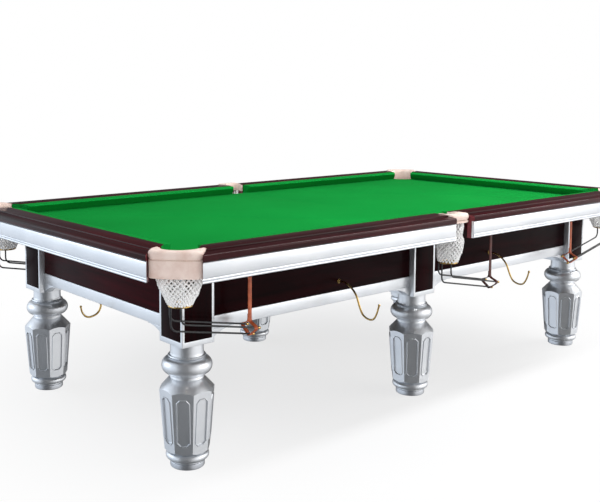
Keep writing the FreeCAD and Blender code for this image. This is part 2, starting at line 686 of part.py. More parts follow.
NET_X, NET_Y = f"(-{HALF_L} + net_offset)", f"(-{HALF_W} + net_offset)"
MID_Y = f"(-{HALF_W} + middle_net_offset)"
corner_net = net("corner_net", NET_X, NET_Y, "net_top_radius", "ring_height + ring_wire + play",
                 "leather_low - play")
four(corner_net, "corner_nets")
middle_net = net("middle_net", "0", MID_Y, "middle_net_radius", "middle_ring_height + ring_wire + play",
                 "middle_low - play")
two(middle_net, "middle_nets", ALONG)
four(torus("corner_ring", "ring_radius", "ring_wire", NET_X, NET_Y, "ring_height"), "corner_rings")
two(torus("middle_ring", "ring_radius", "ring_wire", "0", MID_Y, "middle_ring_height"), "middle_rings", ALONG)


# ---------------------------------------------------------------- ball runners and their straps
def sweep(points, radius, bend=None):
    """Round wire along a path; bend is the three-point arc in its middle."""
    if bend:
        arc = Part.Arc(*bend).toShape()
        edges = [Part.makeLine(points[0], bend[0]), arc, Part.makeLine(bend[2], points[1])]
    else:
        curve = Part.BSplineCurve()
        curve.interpolate(points)
        edges = [curve.toShape()]
    spine = Part.Wire(edges)
    ahead = edges[0].tangentAt(edges[0].FirstParameter)
    ring = Part.Wire(Part.makeCircle(radius, edges[0].Vertexes[0].Point, ahead))
    return spine.makePipeShell([ring], True, True)


def runner(tag, x, y, ring_height):
    """Three rods that fall from the ring and lead the ball away, with brass ends."""
    slope = size("runner_slope")
    ahead = Rotation(ALONG, slope).multVec(ACROSS)
    bend_radius = size("runner_bend")
    start_z = ring_height - size("ring_wire")
    rods, caps = [], []
    half, ring = size("runner_half"), size("ring_radius")
    back = (ring ** 2 - half ** 2) ** 0.5
    for i, (side, behind, drop) in enumerate(((half, back, "side_drop"), (-half, back, "side_drop"),
                                              (0, ring, "keel_drop"))):
        top = Vector(x - behind, y + side, start_z)
        low = Vector(top.x, top.y, ring_height - size(drop))
        centre = low + Vector(bend_radius, 0, 0)
        half_turn = Rotation(ALONG, -(90 - slope) / 2).multVec(Vector(-bend_radius, 0, 0))
        full_turn = Rotation(ALONG, -(90 - slope)).multVec(Vector(-bend_radius, 0, 0))
        bend = (low, centre + half_turn, centre + full_turn)
        reach = (x + size("runner_reach") - bend[2].x) / ahead.x
        end = bend[2] + ahead * reach
        rods.append(shaped(f"rod_{tag}_{i}", sweep([top, end], size("rod_radius"), bend)))
        cap = Part.makeCylinder(size("ferrule_radius"), size("ferrule_length"), end, ahead)
        caps.append(shaped(f"ferrule_{tag}_{i}", cap))
    return rods, caps


def strap(tag, x, y, ring_height, top):
    """Leather strap on a cleat below top, looped under the runner, with two screws."""
    far = x + size("runner_reach") - size("strap_back")
    thick, width, block = size("strap_thick"), size("strap_width"), size("cleat_size")
    fall = (far + width / 2 - x) * math.tan(math.radians(size("runner_slope")))
    keel = ring_height - size("keel_drop") - size("runner_bend") - fall
    half = size("runner_half") + size("rod_radius") + size("strap_room")
    low = keel - size("rod_radius") - size("strap_sag")
    high = keel + size("loop_rise") * size("runner_half")
    waist = keel + size("loop_waist") * size("runner_half")
    loop = [(0, high), (-half, waist), (-half / 2, low), (half / 2, low), (half, waist)]
    outer = [(0, high + 2 * thick), (-half - thick, waist), (-half / 2 - thick, low - thick),
             (half / 2 + thick, low - thick), (half + thick, waist)]

    def slab(corners):
        wire = Part.makePolygon([Vector(far, y + a, b) for a, b in corners + corners[:1]])
        return Part.Face(wire).extrude(Vector(width, 0, 0))

    hang = Part.makeBox(width, thick, top - high, Vector(far, y - thick, high))
    band = slab(outer).fuse(hang).cut(slab(loop)).removeSplitter()
    cleat = Part.makeBox(block, block, block, Vector(far + (width - block) / 2, y, top - block))
    screws = []
    for rise in ("screw_low", "screw_high"):
        seat = Vector(far + width / 2, y - thick, top - block + size(rise))
        screws.append(Part.makeCylinder(size("screw_radius"), size("screw_head"), seat, Vector(0, -1, 0)))
    return (shaped(f"strap_{tag}", band), shaped(f"cleat_{tag}", cleat),
            [shaped(f"screw_{tag}_{i}", s) for i, s in enumerate(screws)])


def whole_set(objects, label):
    """Corner pieces go to four corners, middle pieces to both sides."""
    corner, middle = objects
    front = [group(f"{label}_corner", *corner)]
    front.append(mirror(f"{label}_corner_r", front[0], ACROSS))
    front.append(group(f"{label}_middle", *middle))
    back = [mirror(f"{label}_back_{i}", obj, ALONG) for i, obj in enumerate(front)]
    return node(group(f"{label}_group", *front, *back), label)


corner_at = (value(NET_X), value(NET_Y), size("ring_height"))
middle_at = (0.0, value(MID_Y), size("middle_ring_height"))
corner_rods, corner_caps = runner("corner", *corner_at)
middle_rods, middle_caps = runner("middle", *middle_at)
whole_set((corner_rods, middle_rods), "ball_runners")
whole_set((corner_caps, middle_caps), "runner_ferrules")
corner_strap, corner_cleat, corner_screws = strap("corner", *corner_at, value(FRAME_TOP))
middle_strap, middle_cleat, middle_screws = strap("middle", *middle_at, size("subrail_low"))
whole_set(([corner_strap], [middle_strap]), "runner_straps")
whole_set(([corner_cleat], [middle_cleat]), "strap_cleats")
whole_set((corner_screws, middle_screws), "strap_screws")


# ---------------------------------------------------------------- hooks for the rests
# Each path runs from the root to the tip, in shares of the hook's reach and drop.
SIDE_HOOK_PATH = [(0, 0), (0.14, 0.0), (0.43, 0.33), (0.52, 0.66), (0.7, 0.97), (0.86, 0.95), (1, 0.5)]
END_HOOK_PATH = [(0, 0), (0.04, 0.4), (0.3, 0.9), (0.62, 1.0), (0.9, 0.6), (1, 0.0)]


def side_hook():
    """Long open hook that stands out from the front beam."""
    reach, drop = size("hook_reach"), size("hook_drop")
    x, z = -size("hook_x"), size("hook_height")
    root = value(SIDE_FACE) - size("plate_thick") - 2 * size("play")
    reach -= size("plate_thick")
    points = [Vector(x, root - a * reach, z - b * drop) for a, b in SIDE_HOOK_PATH]
    plate = Part.makeCylinder(size("hook_plate"), size("plate_thick"),
                              Vector(x, value(SIDE_FACE), z), Vector(0, -1, 0))
    return shaped("hook_side", sweep(points, size("hook_wire"))), shaped("hook_plate_side", plate)


def end_hook():
    """Short open hook under the end band."""
    reach, drop = size("end_hook_reach"), size("end_hook_drop")
    root = value(END_FACE) + size("hook_plate")
    z = size("band_low") - size("plate_thick") - size("play")
    points = [Vector(root - a * reach, 0, z - b * drop) for a, b in END_HOOK_PATH]
    plate = Part.makeCylinder(size("hook_plate"), size("plate_thick"),
                              Vector(root, 0, size("band_low")), Vector(0, 0, -1))
    return shaped("hook_end", sweep(points, size("hook_wire"))), shaped("hook_plate_end", plate)


for label, side, end in zip(("rest_hooks", "hook_plates"), side_hook(), end_hook()):
    pair = group(label + "_front", side, mirror(label + "_front_r", side, ACROSS))
    back = mirror(label + "_back", pair, ALONG)
    other = mirror(label + "_end_r", end, ACROSS)
    node(group(label + "_group", pair, back, end, other), label)


# ---------------------------------------------------------------- check and write
doc.recompute()
for obj in doc.Objects:
    if "Invalid" in obj.State or "Error" in obj.State:
        raise RuntimeError(f"{obj.Name} did not compute: {obj.State}")
os.makedirs("parts", exist_ok=True)
for obj in NODES:
    shape = obj.Shape
    if shape.isNull() or not shape.isValid():
        raise RuntimeError(f"{obj.Label} has no valid shape")
    shape.exportStep(f"parts/{obj.Label}.step")
    print(obj.Label, len(shape.Solids), round(shape.Volume / 1e6, 3), "l",
          [round(v) for v in (shape.BoundBox.XMin, shape.BoundBox.XMax, shape.BoundBox.YMin,
                              shape.BoundBox.YMax, shape.BoundBox.ZMin, shape.BoundBox.ZMax)])
print(len(NODES), "sub-parts")
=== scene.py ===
# Ten-foot cloth table with six turned legs, leather pockets and ball runners, dressed around its frame.
import bmesh
import bpy
import random
from math import asin, atan2, cos, hypot, pi, radians, sin, sqrt, tan
from mathutils import Matrix, Vector


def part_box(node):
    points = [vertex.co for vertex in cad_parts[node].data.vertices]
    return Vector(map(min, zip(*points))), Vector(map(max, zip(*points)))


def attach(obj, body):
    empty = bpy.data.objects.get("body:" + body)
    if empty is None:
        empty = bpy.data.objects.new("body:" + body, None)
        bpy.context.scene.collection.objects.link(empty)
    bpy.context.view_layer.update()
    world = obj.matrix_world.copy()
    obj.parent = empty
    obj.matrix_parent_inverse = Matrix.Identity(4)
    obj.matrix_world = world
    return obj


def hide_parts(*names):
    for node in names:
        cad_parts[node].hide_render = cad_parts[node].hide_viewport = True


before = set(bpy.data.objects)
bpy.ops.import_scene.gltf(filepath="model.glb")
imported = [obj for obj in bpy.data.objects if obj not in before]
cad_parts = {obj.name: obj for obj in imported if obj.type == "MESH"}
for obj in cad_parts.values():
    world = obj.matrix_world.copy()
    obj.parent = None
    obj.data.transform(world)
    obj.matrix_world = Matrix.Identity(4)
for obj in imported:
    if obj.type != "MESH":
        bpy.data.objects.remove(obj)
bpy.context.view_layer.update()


# ---------------------------------------------------------------- levelling feet
# Each foot is a pressed steel disc with a turned stud that screws up into the leg.
# The disc is enamelled to match the legs, and its lower edge is rolled so that it slides on carpet.
class Solid:
    """Points and faces gathered before they become one piece."""

    def __init__(self):
        self.points, self.faces, self.slots = [], [], []

    def add(self, points, faces, slot=0):
        first = len(self.points)
        self.points += [Vector(p) for p in points]
        self.faces += [[first + i for i in face] for face in faces]
        self.slots += [slot] * len(faces)
        return self

    def moved(self, change, flip=False):
        """A copy with each point put through change; flip turns the faces round."""
        other = Solid()
        other.points = [Vector(change(p)) for p in self.points]
        other.faces = [face[::-1] if flip else list(face) for face in self.faces]
        other.slots = list(self.slots)
        return other

    def mirrored(self, x=1, y=1):
        return self.moved(lambda p: (p.x * x, p.y * y, p.z), flip=x * y < 0)

    def joined(self, *others):
        for other in others:
            first = len(self.points)
            self.points += other.points
            self.faces += [[first + i for i in face] for face in other.faces]
            self.slots += other.slots
        return self

    def piece(self, name, finishes, slot, nodes, body="table", edge=0, smooth=35):
        """The mesh as a finished piece that rides on a body and stands for CAD nodes."""
        mesh = bpy.data.meshes.new(name)
        mesh.from_pydata(self.points, [], self.faces)
        for face, index in zip(mesh.polygons, self.slots):
            face.material_index = index
        work = bmesh.new()
        work.from_mesh(mesh)
        bmesh.ops.remove_doubles(work, verts=work.verts, dist=1e-6)
        bmesh.ops.recalc_face_normals(work, faces=work.faces)
        if edge:
            ease(work, edge)
        work.to_mesh(mesh)
        work.free()
        return finished(mesh, name, finishes, nodes, body, smooth)


def ease(work, edge):
    """Round off the edges that turn by more than 40 degrees, as sanding does."""
    sharp = [e for e in work.edges if len(e.link_faces) == 2 and e.calc_face_angle(0) > radians(40)]
    bmesh.ops.bevel(work, geom=sharp, offset=edge, segments=2, profile=0.6, affect="EDGES",
                    clamp_overlap=True)


def finished(mesh, name, finishes, nodes, body="table", smooth=35):
    """Link the mesh as a piece, with its finishes, its body and the nodes it stands for."""
    piece = bpy.data.objects.new(name, mesh)
    bpy.context.scene.collection.objects.link(piece)
    chosen = [face.material_index for face in mesh.polygons]
    mesh.materials.clear()
    for finish in finishes:
        mesh.materials.append(finish)
    for face, index in zip(mesh.polygons, chosen):
        face.material_index = index
    mesh.shade_smooth()
    mesh.set_sharp_from_angle(angle=radians(smooth))
    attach(piece, body)
    if nodes:
        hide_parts(*nodes)
    return piece


def loft(rings, around=True, capped=True):
    """Points and faces of a skin over rings of equally many points."""
    count = len(rings[0])
    faces = []
    for i in range(len(rings) - 1):
        for k in range(count if around else count - 1):
            low, high, following = i * count, (i + 1) * count, (k + 1) % count
            faces.append([low + k, low + following, high + following, high + k])
    if capped:
        faces.append(list(range(count))[::-1])
        faces.append([(len(rings) - 1) * count + k for k in range(count)])
    return [p for ring in rings for p in ring], faces


def arc(centre, radius, start, end, steps):
    """Points (a, b) on an arc from start to end degrees."""
    angles = [radians(start + (end - start) * i / steps) for i in range(steps + 1)]
    return [(centre[0] + radius * cos(t), centre[1] + radius * sin(t)) for t in angles]


def turned(profile, centre, steps=64):
    """A lathe-turned solid about an upright axis, from (radius, height) pairs."""
    turns = [2 * pi * k / steps for k in range(steps)]
    return loft([[(centre[0] + r * cos(t), centre[1] + r * sin(t), z) for t in turns] for r, z in profile])


class Wire:
    """A node's output, on which arithmetic adds Math nodes."""

    def __init__(self, nodes, socket):
        self.nodes, self.socket = nodes, socket

    def math(self, operation, first, second):
        return self.nodes.node("ShaderNodeMath", {"operation": operation}, {0: first, 1: second})

    def __add__(self, other):
        return self.math("ADD", self, other)

    def __radd__(self, other):
        return self.math("ADD", other, self)

    def __sub__(self, other):
        return self.math("SUBTRACT", self, other)

    def __rsub__(self, other):
        return self.math("SUBTRACT", other, self)

    def __mul__(self, other):
        return self.math("MULTIPLY", self, other)

    def __rmul__(self, other):
        return self.math("MULTIPLY", other, self)

    def __pow__(self, other):
        return self.math("POWER", self, other)


class Nodes:
    """A node tree being filled; node() adds a node and gives one output as a Wire."""

    def __init__(self, tree):
        self.tree = tree

    def node(self, kind, settings=None, inputs=None, out=0):
        made = self.tree.nodes.new(kind)
        for key, value in (settings or {}).items():
            if key == "stops":
                self.ramp(made.color_ramp.elements, value)
            else:
                setattr(made, key, value)
        for key, value in (inputs or {}).items():
            if isinstance(value, Wire):
                self.tree.links.new(value.socket, made.inputs[key])
            else:
                made.inputs[key].default_value = value
        return Wire(self, made.outputs[out])

    @staticmethod
    def ramp(elements, stops):
        for i, (at, colour) in enumerate(stops):
            stop = elements[i] if i < 2 else elements.new(at)
            stop.position = at
            stop.color = (*colour, 1)


class Finish(Nodes):
    """A material, with its Principled shader and the textures that makers' finishes share."""

    def __init__(self, name, constants):
        self.material = bpy.data.materials.new(name)
        self.material.use_nodes = True
        super().__init__(self.material.node_tree)
        self.shader = self.tree.nodes["Principled BSDF"]
        for key, value in constants.items():
            self.shader.inputs[key].default_value = value

    def feed(self, socket, wire):
        self.tree.links.new(wire.socket, self.shader.inputs[socket])

    def place(self, scale=(1, 1, 1), turn=(0, 0, 0)):
        """Object coordinates, stretched and turned."""
        where = self.node("ShaderNodeTexCoord", out=3)
        return self.node("ShaderNodeMapping", None, {"Vector": where, "Scale": scale, "Rotation": turn})

    def noise(self, where, scale, detail=3.0, rough=0.5, warp=0.0):
        return self.node("ShaderNodeTexNoise", None, {"Vector": where, "Scale": scale, "Detail": detail,
                                                      "Roughness": rough, "Distortion": warp})

    def cells(self, where, scale):
        return self.node("ShaderNodeTexVoronoi", None, {"Vector": where, "Scale": scale})

    def ramped(self, wire, *stops):
        return self.node("ShaderNodeValToRGB", {"stops": stops}, {"Fac": wire})

    def mixed(self, factor, first, second):
        return self.node("ShaderNodeMix", {"data_type": "RGBA"}, {0: factor, 6: first, 7: second}, out=2)

    def bump(self, height, distance):
        self.feed("Normal", self.node("ShaderNodeBump", None, {"Height": height, "Distance": distance,
                                                               "Strength": 1.0}))


def silver_lacquer(name, light=(0.88, 0.90, 0.93), dark=(0.74, 0.77, 0.81)):
    """Sprayed silver lacquer: fine flake, a little orange peel and faint clouding."""
    paint = Finish(name, {"Metallic": 0.86, "Coat Weight": 0.35, "Coat Roughness": 0.12})
    where = paint.place()
    cloud = paint.noise(where, 5.0, detail=4.0)
    flake = paint.noise(where, 1400.0, detail=1.0)
    peel = paint.noise(where, 260.0, detail=2.0)
    tone = paint.ramped(cloud * 0.75 + flake * 0.25, (0.3, dark), (0.7, light))
    paint.feed("Base Color", tone)
    paint.feed("Roughness", 0.24 + flake * 0.12 + cloud * 0.06)
    paint.bump(peel + flake * 0.3, 0.00006)
    return paint.material


SILVER = silver_lacquer("silver_lacquer")
PLACES = ("front_left", "front_middle", "front_right", "back_left", "back_middle", "back_right")
FOOT_THICK, STUD_RADIUS = 0.022, 0.012


def foot_profile(radius, thick, stud, top):
    """(radius, height) from the disc's rolled lower edge to the stud's chamfered top."""
    rolled, lip = 0.005, 0.002
    return ([(radius - rolled, 0)] + arc((radius - rolled, rolled), rolled, -60, 0, 4)
            + arc((radius - lip, thick - lip), lip, 0, 90, 3)
            + [(stud * 2, thick), (stud * 2, thick + 0.004), (stud, thick + 0.004), (stud, top - 0.002),
               (stud - 0.002, top)])


foot_enamel = silver_lacquer("foot_enamel", light=(0.72, 0.74, 0.78), dark=(0.52, 0.55, 0.60))
for where in PLACES:
    low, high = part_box("levelling_foot_" + where)
    middle = (low + high) / 2
    profile = foot_profile((high.x - low.x) / 2, FOOT_THICK, STUD_RADIUS, high.z)
    Solid().add(*turned(profile, middle, 72)).piece(
        "foot_disc_" + where, [foot_enamel], "foot_steel", ["levelling_foot_" + where], body="foot_" + where)


# ---------------------------------------------------------------- legs
# Each leg is turned from one laminated block, planed to eight flats between the beads and lacquered silver.
# A raised moulding with cut corners frames a sunk panel on each flat.
FLATS = 8
COLUMNS = (-0.027, -0.020, -0.013, -0.006, 0, 0.006, 0.013, 0.020, 0.027)
PANEL_LOW, PANEL_HIGH, PANEL_CUT = 0.098, 0.284, 0.014
SHAFT_LOW, SHAFT_HIGH = 0.072, 0.308
FLAT_LOW, FLAT_HIGH = 0.082, 0.100


def flat_at(z):
    """Distance from the leg's axis to a flat at that height."""
    return FLAT_LOW + (FLAT_HIGH - FLAT_LOW) * (z - SHAFT_LOW) / (SHAFT_HIGH - SHAFT_LOW)


def shaft_row(height):
    """One row of points round the octagonal shaft; height gives z from the distance to the axis."""
    row = []
    for side in range(FLATS):
        turn = Matrix.Rotation(2 * pi * side / FLATS, 3, "Z")
        for column in (-1, *COLUMNS):
            z = height(0.1)
            for _ in range(3):
                flat = flat_at(z)
                across = -flat * tan(pi / FLATS) if column == -1 else column
                z = height(hypot(flat, across))
            row.append(turn @ Vector((flat, across, z)))
    return row


def leg_solid():
    """A leg about the origin: one skin from its base to its neck."""
    turns = [atan2(p.y, p.x) for p in shaft_row(lambda r: SHAFT_HIGH)]

    def rings(profile):
        return [[Vector((r * cos(t), r * sin(t), z)) for t in turns] for r, z in profile]

    edge = FLAT_HIGH / cos(pi / FLATS)
    low_edge = FLAT_LOW / cos(pi / FLATS)
    below = ([(0.064, 0.0225), (0.066, 0.0245), (0.066, 0.031)]
             + arc((0.0675, 0.0455), 0.0155, -72, 72, 9) + [(0.0665, 0.0615), (0.0665, 0.0645)]
             + arc((0.0745, 0.0645), 0.0075, 180, 128, 3))
    above = ([(0.069, 0.3445), (0.0655, 0.3465)] + arc((0.0685, 0.3535), 0.0045, 210, 120, 3)
             + arc((0.0645, 0.393), 0.0325, -84, 84, 14)
             + [(0.0665, 0.4265), (0.0715, 0.4275), (0.0735, 0.4305), (0.0715, 0.4335), (0.0655, 0.4345)]
             + arc((0.0725, 0.4435), 0.0085, 200, 172, 2) + [(0.0635, 0.452), (0.0635, 0.4798)])
    levels = [PANEL_LOW, PANEL_LOW + PANEL_CUT / 2, PANEL_LOW + PANEL_CUT, 0.150, 0.191, 0.232,
              PANEL_HIGH - PANEL_CUT, PANEL_HIGH - PANEL_CUT / 2, PANEL_HIGH]
    shaft = [shaft_row(lambda r: SHAFT_LOW + (low_edge - r) * -0.9)]
    shaft += [shaft_row(lambda r, z=z: z) for z in levels]
    shaft.append(shaft_row(lambda r: SHAFT_HIGH - 0.006 + (edge - r) * 0.9))
    points, faces = loft(rings(below) + shaft + rings(above))
    return Solid().add(points, faces)


def cut_panels(work):
    """Raise a moulding round each flat's panel and sink the field inside it."""
    for side in range(FLATS):
        back = Matrix.Rotation(-2 * pi * side / FLATS, 3, "Z")
        field = []
        for face in list(work.faces):
            spots = [back @ v.co for v in face.verts]
            if any(abs(s.x - flat_at(s.z)) > 0.0005 for s in spots):
                continue
            if all(inside_panel(s) for s in spots):
                field.append(face)
        for thickness, depth in ((0.0018, 0.0030), (0.0018, 0.0), (0.0018, -0.0062)):
            bmesh.ops.inset_region(work, faces=field, thickness=thickness, depth=depth, use_even_offset=True)


def inside_panel(spot):
    """Whether a point on a flat lies in the panel's outline, cut corners left out."""
    half = COLUMNS[-1]
    down, up = spot.z - PANEL_LOW, PANEL_HIGH - spot.z
    in_frame = min(down, up) > -1e-5 and abs(spot.y) < half + 1e-5
    return in_frame and (half - abs(spot.y)) + min(down, up) > PANEL_CUT - 2e-3


def split_corners(work):
    """Cut the corner cells of each panel along its chamfers."""
    for face in list(work.faces):
        if len(face.verts) != 4:
            continue
        side = round(atan2(face.calc_center_median().y, face.calc_center_median().x) / (2 * pi / FLATS))
        back = Matrix.Rotation(-2 * pi * side / FLATS, 3, "Z")
        spots = [back @ v.co for v in face.verts]
        kept = [inside_panel(s) and abs(s.x - flat_at(s.z)) < 0.0005 for s in spots]
        if sum(kept) == 3:
            lost = kept.index(False)
            bmesh.utils.face_split(face, face.verts[(lost + 1) % 4], face.verts[(lost + 3) % 4])


leg_skin = leg_solid()
leg_mesh = bpy.data.meshes.new("leg")
leg_mesh.from_pydata(leg_skin.points, [], leg_skin.faces)
leg_work = bmesh.new()
leg_work.from_mesh(leg_mesh)
bmesh.ops.recalc_face_normals(leg_work, faces=leg_work.faces)
split_corners(leg_work)
cut_panels(leg_work)
for where in PLACES:
    low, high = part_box("leg_" + where)
    middle = (low + high) / 2
    mesh = bpy.data.meshes.new("turned_leg_" + where)
    leg_work.to_mesh(mesh)
    mesh.transform(Matrix.Translation((middle.x, middle.y, 0)))
    finished(mesh, "turned_leg_" + where, [SILVER], ["leg_" + where], smooth=24)
leg_work.free()


# ---------------------------------------------------------------- leg dowels and rail bolts
# Zinc plated studs join each leg to the post above it, and hexagon bolts hold the rails to the slate's edge.
# They keep their own shape and only take their metal here.
def plated_steel():
    """Zinc plate: pale, slightly spangled, with fine turning marks."""
    metal = Finish("plated_steel", {"Metallic": 1.0})
    where = metal.place()
    spangle = metal.cells(where, 160.0)
    marks = metal.noise(metal.place((900, 900, 40)), 1.0)
    metal.feed("Base Color", metal.ramped(spangle, (0.1, (0.62, 0.63, 0.64)), (0.6, (0.42, 0.43, 0.45))))
    metal.feed("Roughness", 0.28 + marks * 0.2)
    metal.bump(marks, 0.00004)
    return metal.material


def dressed(node, finish):
    """Give a CAD node its finish, with its shape as it is."""
    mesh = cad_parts[node].data
    mesh.materials.clear()
    mesh.materials.append(finish)


STEEL = plated_steel()
dressed("leg_dowels", STEEL)
dressed("rail_bolts", STEEL)


# ---------------------------------------------------------------- posts and their panels
# A square post stands on each leg. It is lacquered silver, with a dark mahogany panel let in flush
# on each outer face, so that a narrow silver border shows on both sides of it and below.
def eased(node, name, finish, edge=0.0012):
    """A CAD piece's shape with its corners eased by sanding, in place of that node."""
    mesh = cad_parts[node].data.copy()
    work = bmesh.new()
    work.from_mesh(mesh)
    bmesh.ops.remove_doubles(work, verts=work.verts, dist=1e-5)
    bmesh.ops.dissolve_limit(work, angle_limit=radians(1), verts=work.verts, edges=work.edges)
    ease(work, edge)
    work.to_mesh(mesh)
    work.free()
    return finished(mesh, name, [finish], [node])


def mahogany(name, along, dark=(0.0030, 0.0002, 0.0005), light=(0.022, 0.0008, 0.0022), coat=0.03):
    """Stained mahogany under clear gloss, its grain along one axis."""
    wood = Finish(name, {"Coat Weight": coat, "Coat Roughness": 0.03, "Specular IOR Level": 0.03})
    stretch, fine = [26.0] * 3, [420.0] * 3
    stretch["xyz".index(along)], fine["xyz".index(along)] = 1.6, 14.0
    figure = wood.noise(wood.place(stretch), 1.0, detail=5.0, warp=0.7)
    pores = wood.noise(wood.place(fine), 1.0, detail=2.0)
    band = wood.noise(wood.place(), 3.0)
    tone = wood.ramped(figure * 0.7 + band * 0.3, (0.32, dark), (0.72, light))
    wood.feed("Base Color", wood.mixed(pores * 0.5, tone, (*dark, 1)))
    wood.feed("Roughness", 0.26 + pores * 0.16)
    wood.bump(pores, 0.00008)
    return wood.material


MAHOGANY_UP = mahogany("mahogany_upright", "z")
eased("corner_posts", "corner_post_blocks", SILVER)
eased("middle_posts", "middle_post_blocks", SILVER)
eased("post_panels", "let_in_panels", MAHOGANY_UP, edge=0.0006)


# ---------------------------------------------------------------- beams, bands and brackets
# Deep mahogany beams run between the posts. A silver band is planted along the foot of each beam,
# with a shallow curved bracket where it meets a post.
MAHOGANY_LONG = mahogany("mahogany_lengthways", "x")
# The end beams take a lighter copy of the same mahogany: its extra brightness is painted light, for end
# faces that catch more light than the dark sides.
MAHOGANY_CROSS_PAINTED_LIGHT = mahogany("mahogany_crossways", "y", (0.012, 0.0004, 0.0012), (0.065, 0.0018, 0.0060))
for where in ("front_left", "front_right", "back_left", "back_right"):
    eased("side_beam_" + where, "side_board_" + where, MAHOGANY_LONG)
for where in ("left", "right"):
    eased("end_beam_" + where, "end_board_" + where, MAHOGANY_CROSS_PAINTED_LIGHT)
eased("side_bands", "side_band_strips", SILVER, edge=0.002)
eased("end_bands", "end_band_strips", SILVER, edge=0.002)
eased("band_brackets", "curved_brackets", SILVER)


# ---------------------------------------------------------------- cross beam, battens and strap blocks
# Planed softwood carries the slates and holds the runner straps.
# It is left bare, with its growth rings showing.
def softwood():
    """Bare planed pine with rings along X."""
    wood = Finish("planed_softwood", {"Specular IOR Level": 0.3})
    rings = wood.noise(wood.place((3.0, 30.0, 30.0)), 1.0, detail=4.0, warp=1.2)
    fibre = wood.noise(wood.place((30.0, 600.0, 600.0)), 1.0)
    tone = wood.ramped(rings * 0.8 + fibre * 0.2, (0.3, (0.30, 0.16, 0.065)), (0.65, (0.55, 0.36, 0.18)))
    wood.feed("Base Color", tone)
    wood.feed("Roughness", 0.6 + fibre * 0.2)
    wood.bump(fibre, 0.0002)
    return wood.material


PINE = softwood()
for node, name in (("cross_beam", "cross_bearer"), ("slate_battens", "joint_battens"),
                   ("strap_cleats", "strap_blocks")):
    eased(node, name, PINE, edge=0.002)


# ---------------------------------------------------------------- slates
# Three slabs of honed slate lie side by side on the frame.
# They are drilled for the rails' bolts and cut back at the pockets.
def slate_stone():
    """Honed slate: dark blue-grey, with cloudy bedding and pale scratches."""
    stone = Finish("honed_slate", {"Specular IOR Level": 0.35})
    bedding = stone.noise(stone.place((4.0, 4.0, 60.0)), 1.0, detail=6.0, rough=0.6)
    grit = stone.noise(stone.place(), 700.0)
    scratch = stone.noise(stone.place((900.0, 12.0, 12.0), (0, 0, 0.5)), 1.0)
    tone = stone.ramped(bedding, (0.3, (0.030, 0.034, 0.040)), (0.7, (0.085, 0.092, 0.100)))
    stone.feed("Base Color", stone.mixed(scratch ** 4.0, tone, (0.2, 0.21, 0.22, 1)))
    stone.feed("Roughness", 0.55 + grit * 0.2)
    stone.bump(grit + bedding, 0.0002)
    return stone.material


SLATE = slate_stone()
for part in ("left", "middle", "right"):
    eased("slate_" + part, "bed_slab_" + part, SLATE, edge=0.0015)


# ---------------------------------------------------------------- bed cloth
# One piece of napped green wool is stretched over the slates and tucked under the rails.
# At each pocket it turns down over the slate's edge in a soft roll.
RAIL_LOW, RAIL_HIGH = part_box("rail_front_left")
HALF_LONG, HALF_WIDE = -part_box("rail_end_left")[0].x, -RAIL_LOW.y
CLOTH_LOW, CLOTH_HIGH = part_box("bed_cloth")


def billiard_cloth():
    """Napped wool: a close fibre pile, faint drift in tone and soft sheen at a low angle."""
    cloth = Finish("green_wool", {"Sheen Weight": 0.005, "Sheen Roughness": 0.5, "Specular IOR Level": 0.02})
    where = cloth.place()
    drift = cloth.noise(where, 2.2)
    fibre = cloth.noise(cloth.place((1500.0, 900.0, 900.0), (0, 0, 0.3)), 1.0, detail=2.0)
    weave = cloth.cells(where, 1300.0)
    tone = cloth.ramped(drift * 0.5 + fibre * 0.5,
                        (0.25, (0.0026, 0.200, 0.028)), (0.62, (0.0040, 0.265, 0.038)))
    cloth.feed("Base Color", tone)
    cloth.feed("Roughness", 0.82 + fibre * 0.15)
    cloth.bump(fibre + weave * 0.5, 0.00025)
    return cloth.material


CLOTH = billiard_cloth()
CORNER_HOLE, CORNER_NOTCH = 0.165, 0.066
MIDDLE_HOLE, MIDDLE_NOTCH = 0.112, 0.048
FALL_ROUND, FALL_DROP = 0.006, 0.052


def notch(x, y, radius, start, end, steps):
    """Plan points of one pocket notch: its centre and the directions to the cloth's edge round it."""
    return [(x, y, radius, radians(start + (end - start) * i / steps)) for i in range(steps + 1)]


def cloth_surface():
    """The cloth's upper face as one outline with six notches, and the rolls that hang in them."""
    cx, cy = HALF_LONG - CORNER_HOLE, HALF_WIDE - CORNER_HOLE
    off = cx - CLOTH_HIGH.x
    lean = asin(-off / CORNER_NOTCH) * 180 / pi
    my = HALF_WIDE - MIDDLE_HOLE
    tip = asin((my - CLOTH_HIGH.y) / MIDDLE_NOTCH) * 180 / pi
    notches = [notch(-cx, -cy, CORNER_NOTCH, 90 + lean, -lean, 24),
               notch(0, -my, MIDDLE_NOTCH, 180 - tip, tip, 18),
               notch(cx, -cy, CORNER_NOTCH, 180 + lean, 90 - lean, 24),
               notch(cx, cy, CORNER_NOTCH, 270 + lean, 180 - lean, 24),
               notch(0, my, MIDDLE_NOTCH, -tip, -180 + tip, 18),
               notch(-cx, cy, CORNER_NOTCH, lean, -90 - lean, 24)]
    top, cloth = CLOTH_HIGH.z, Solid()
    outline = []
    for spots in notches:
        rows = []
        for turn in (0, 30, 60, 90):
            out = FALL_ROUND * (1 - sin(radians(turn)))
            fall = FALL_ROUND * (1 - cos(radians(turn)))
            rows.append([(x + (r + out) * cos(t), y + (r + out) * sin(t), top - fall)
                         for x, y, r, t in spots])
        rows.append([(x + r * cos(t), y + r * sin(t), top - FALL_DROP) for x, y, r, t in spots])
        outline += rows[0]
        cloth.add(*loft(rows, around=False, capped=False))
    cloth.add(outline, [list(range(len(outline)))])
    return cloth


cloth_piece = cloth_surface().piece("stretched_cloth", [CLOTH], "green_cloth", ["bed_cloth"], smooth=60)
wall = cloth_piece.modifiers.new("cloth_thickness", "SOLIDIFY")
wall.thickness = CLOTH_HIGH.z - CLOTH_LOW.z - 0.0002
wall.offset = -1


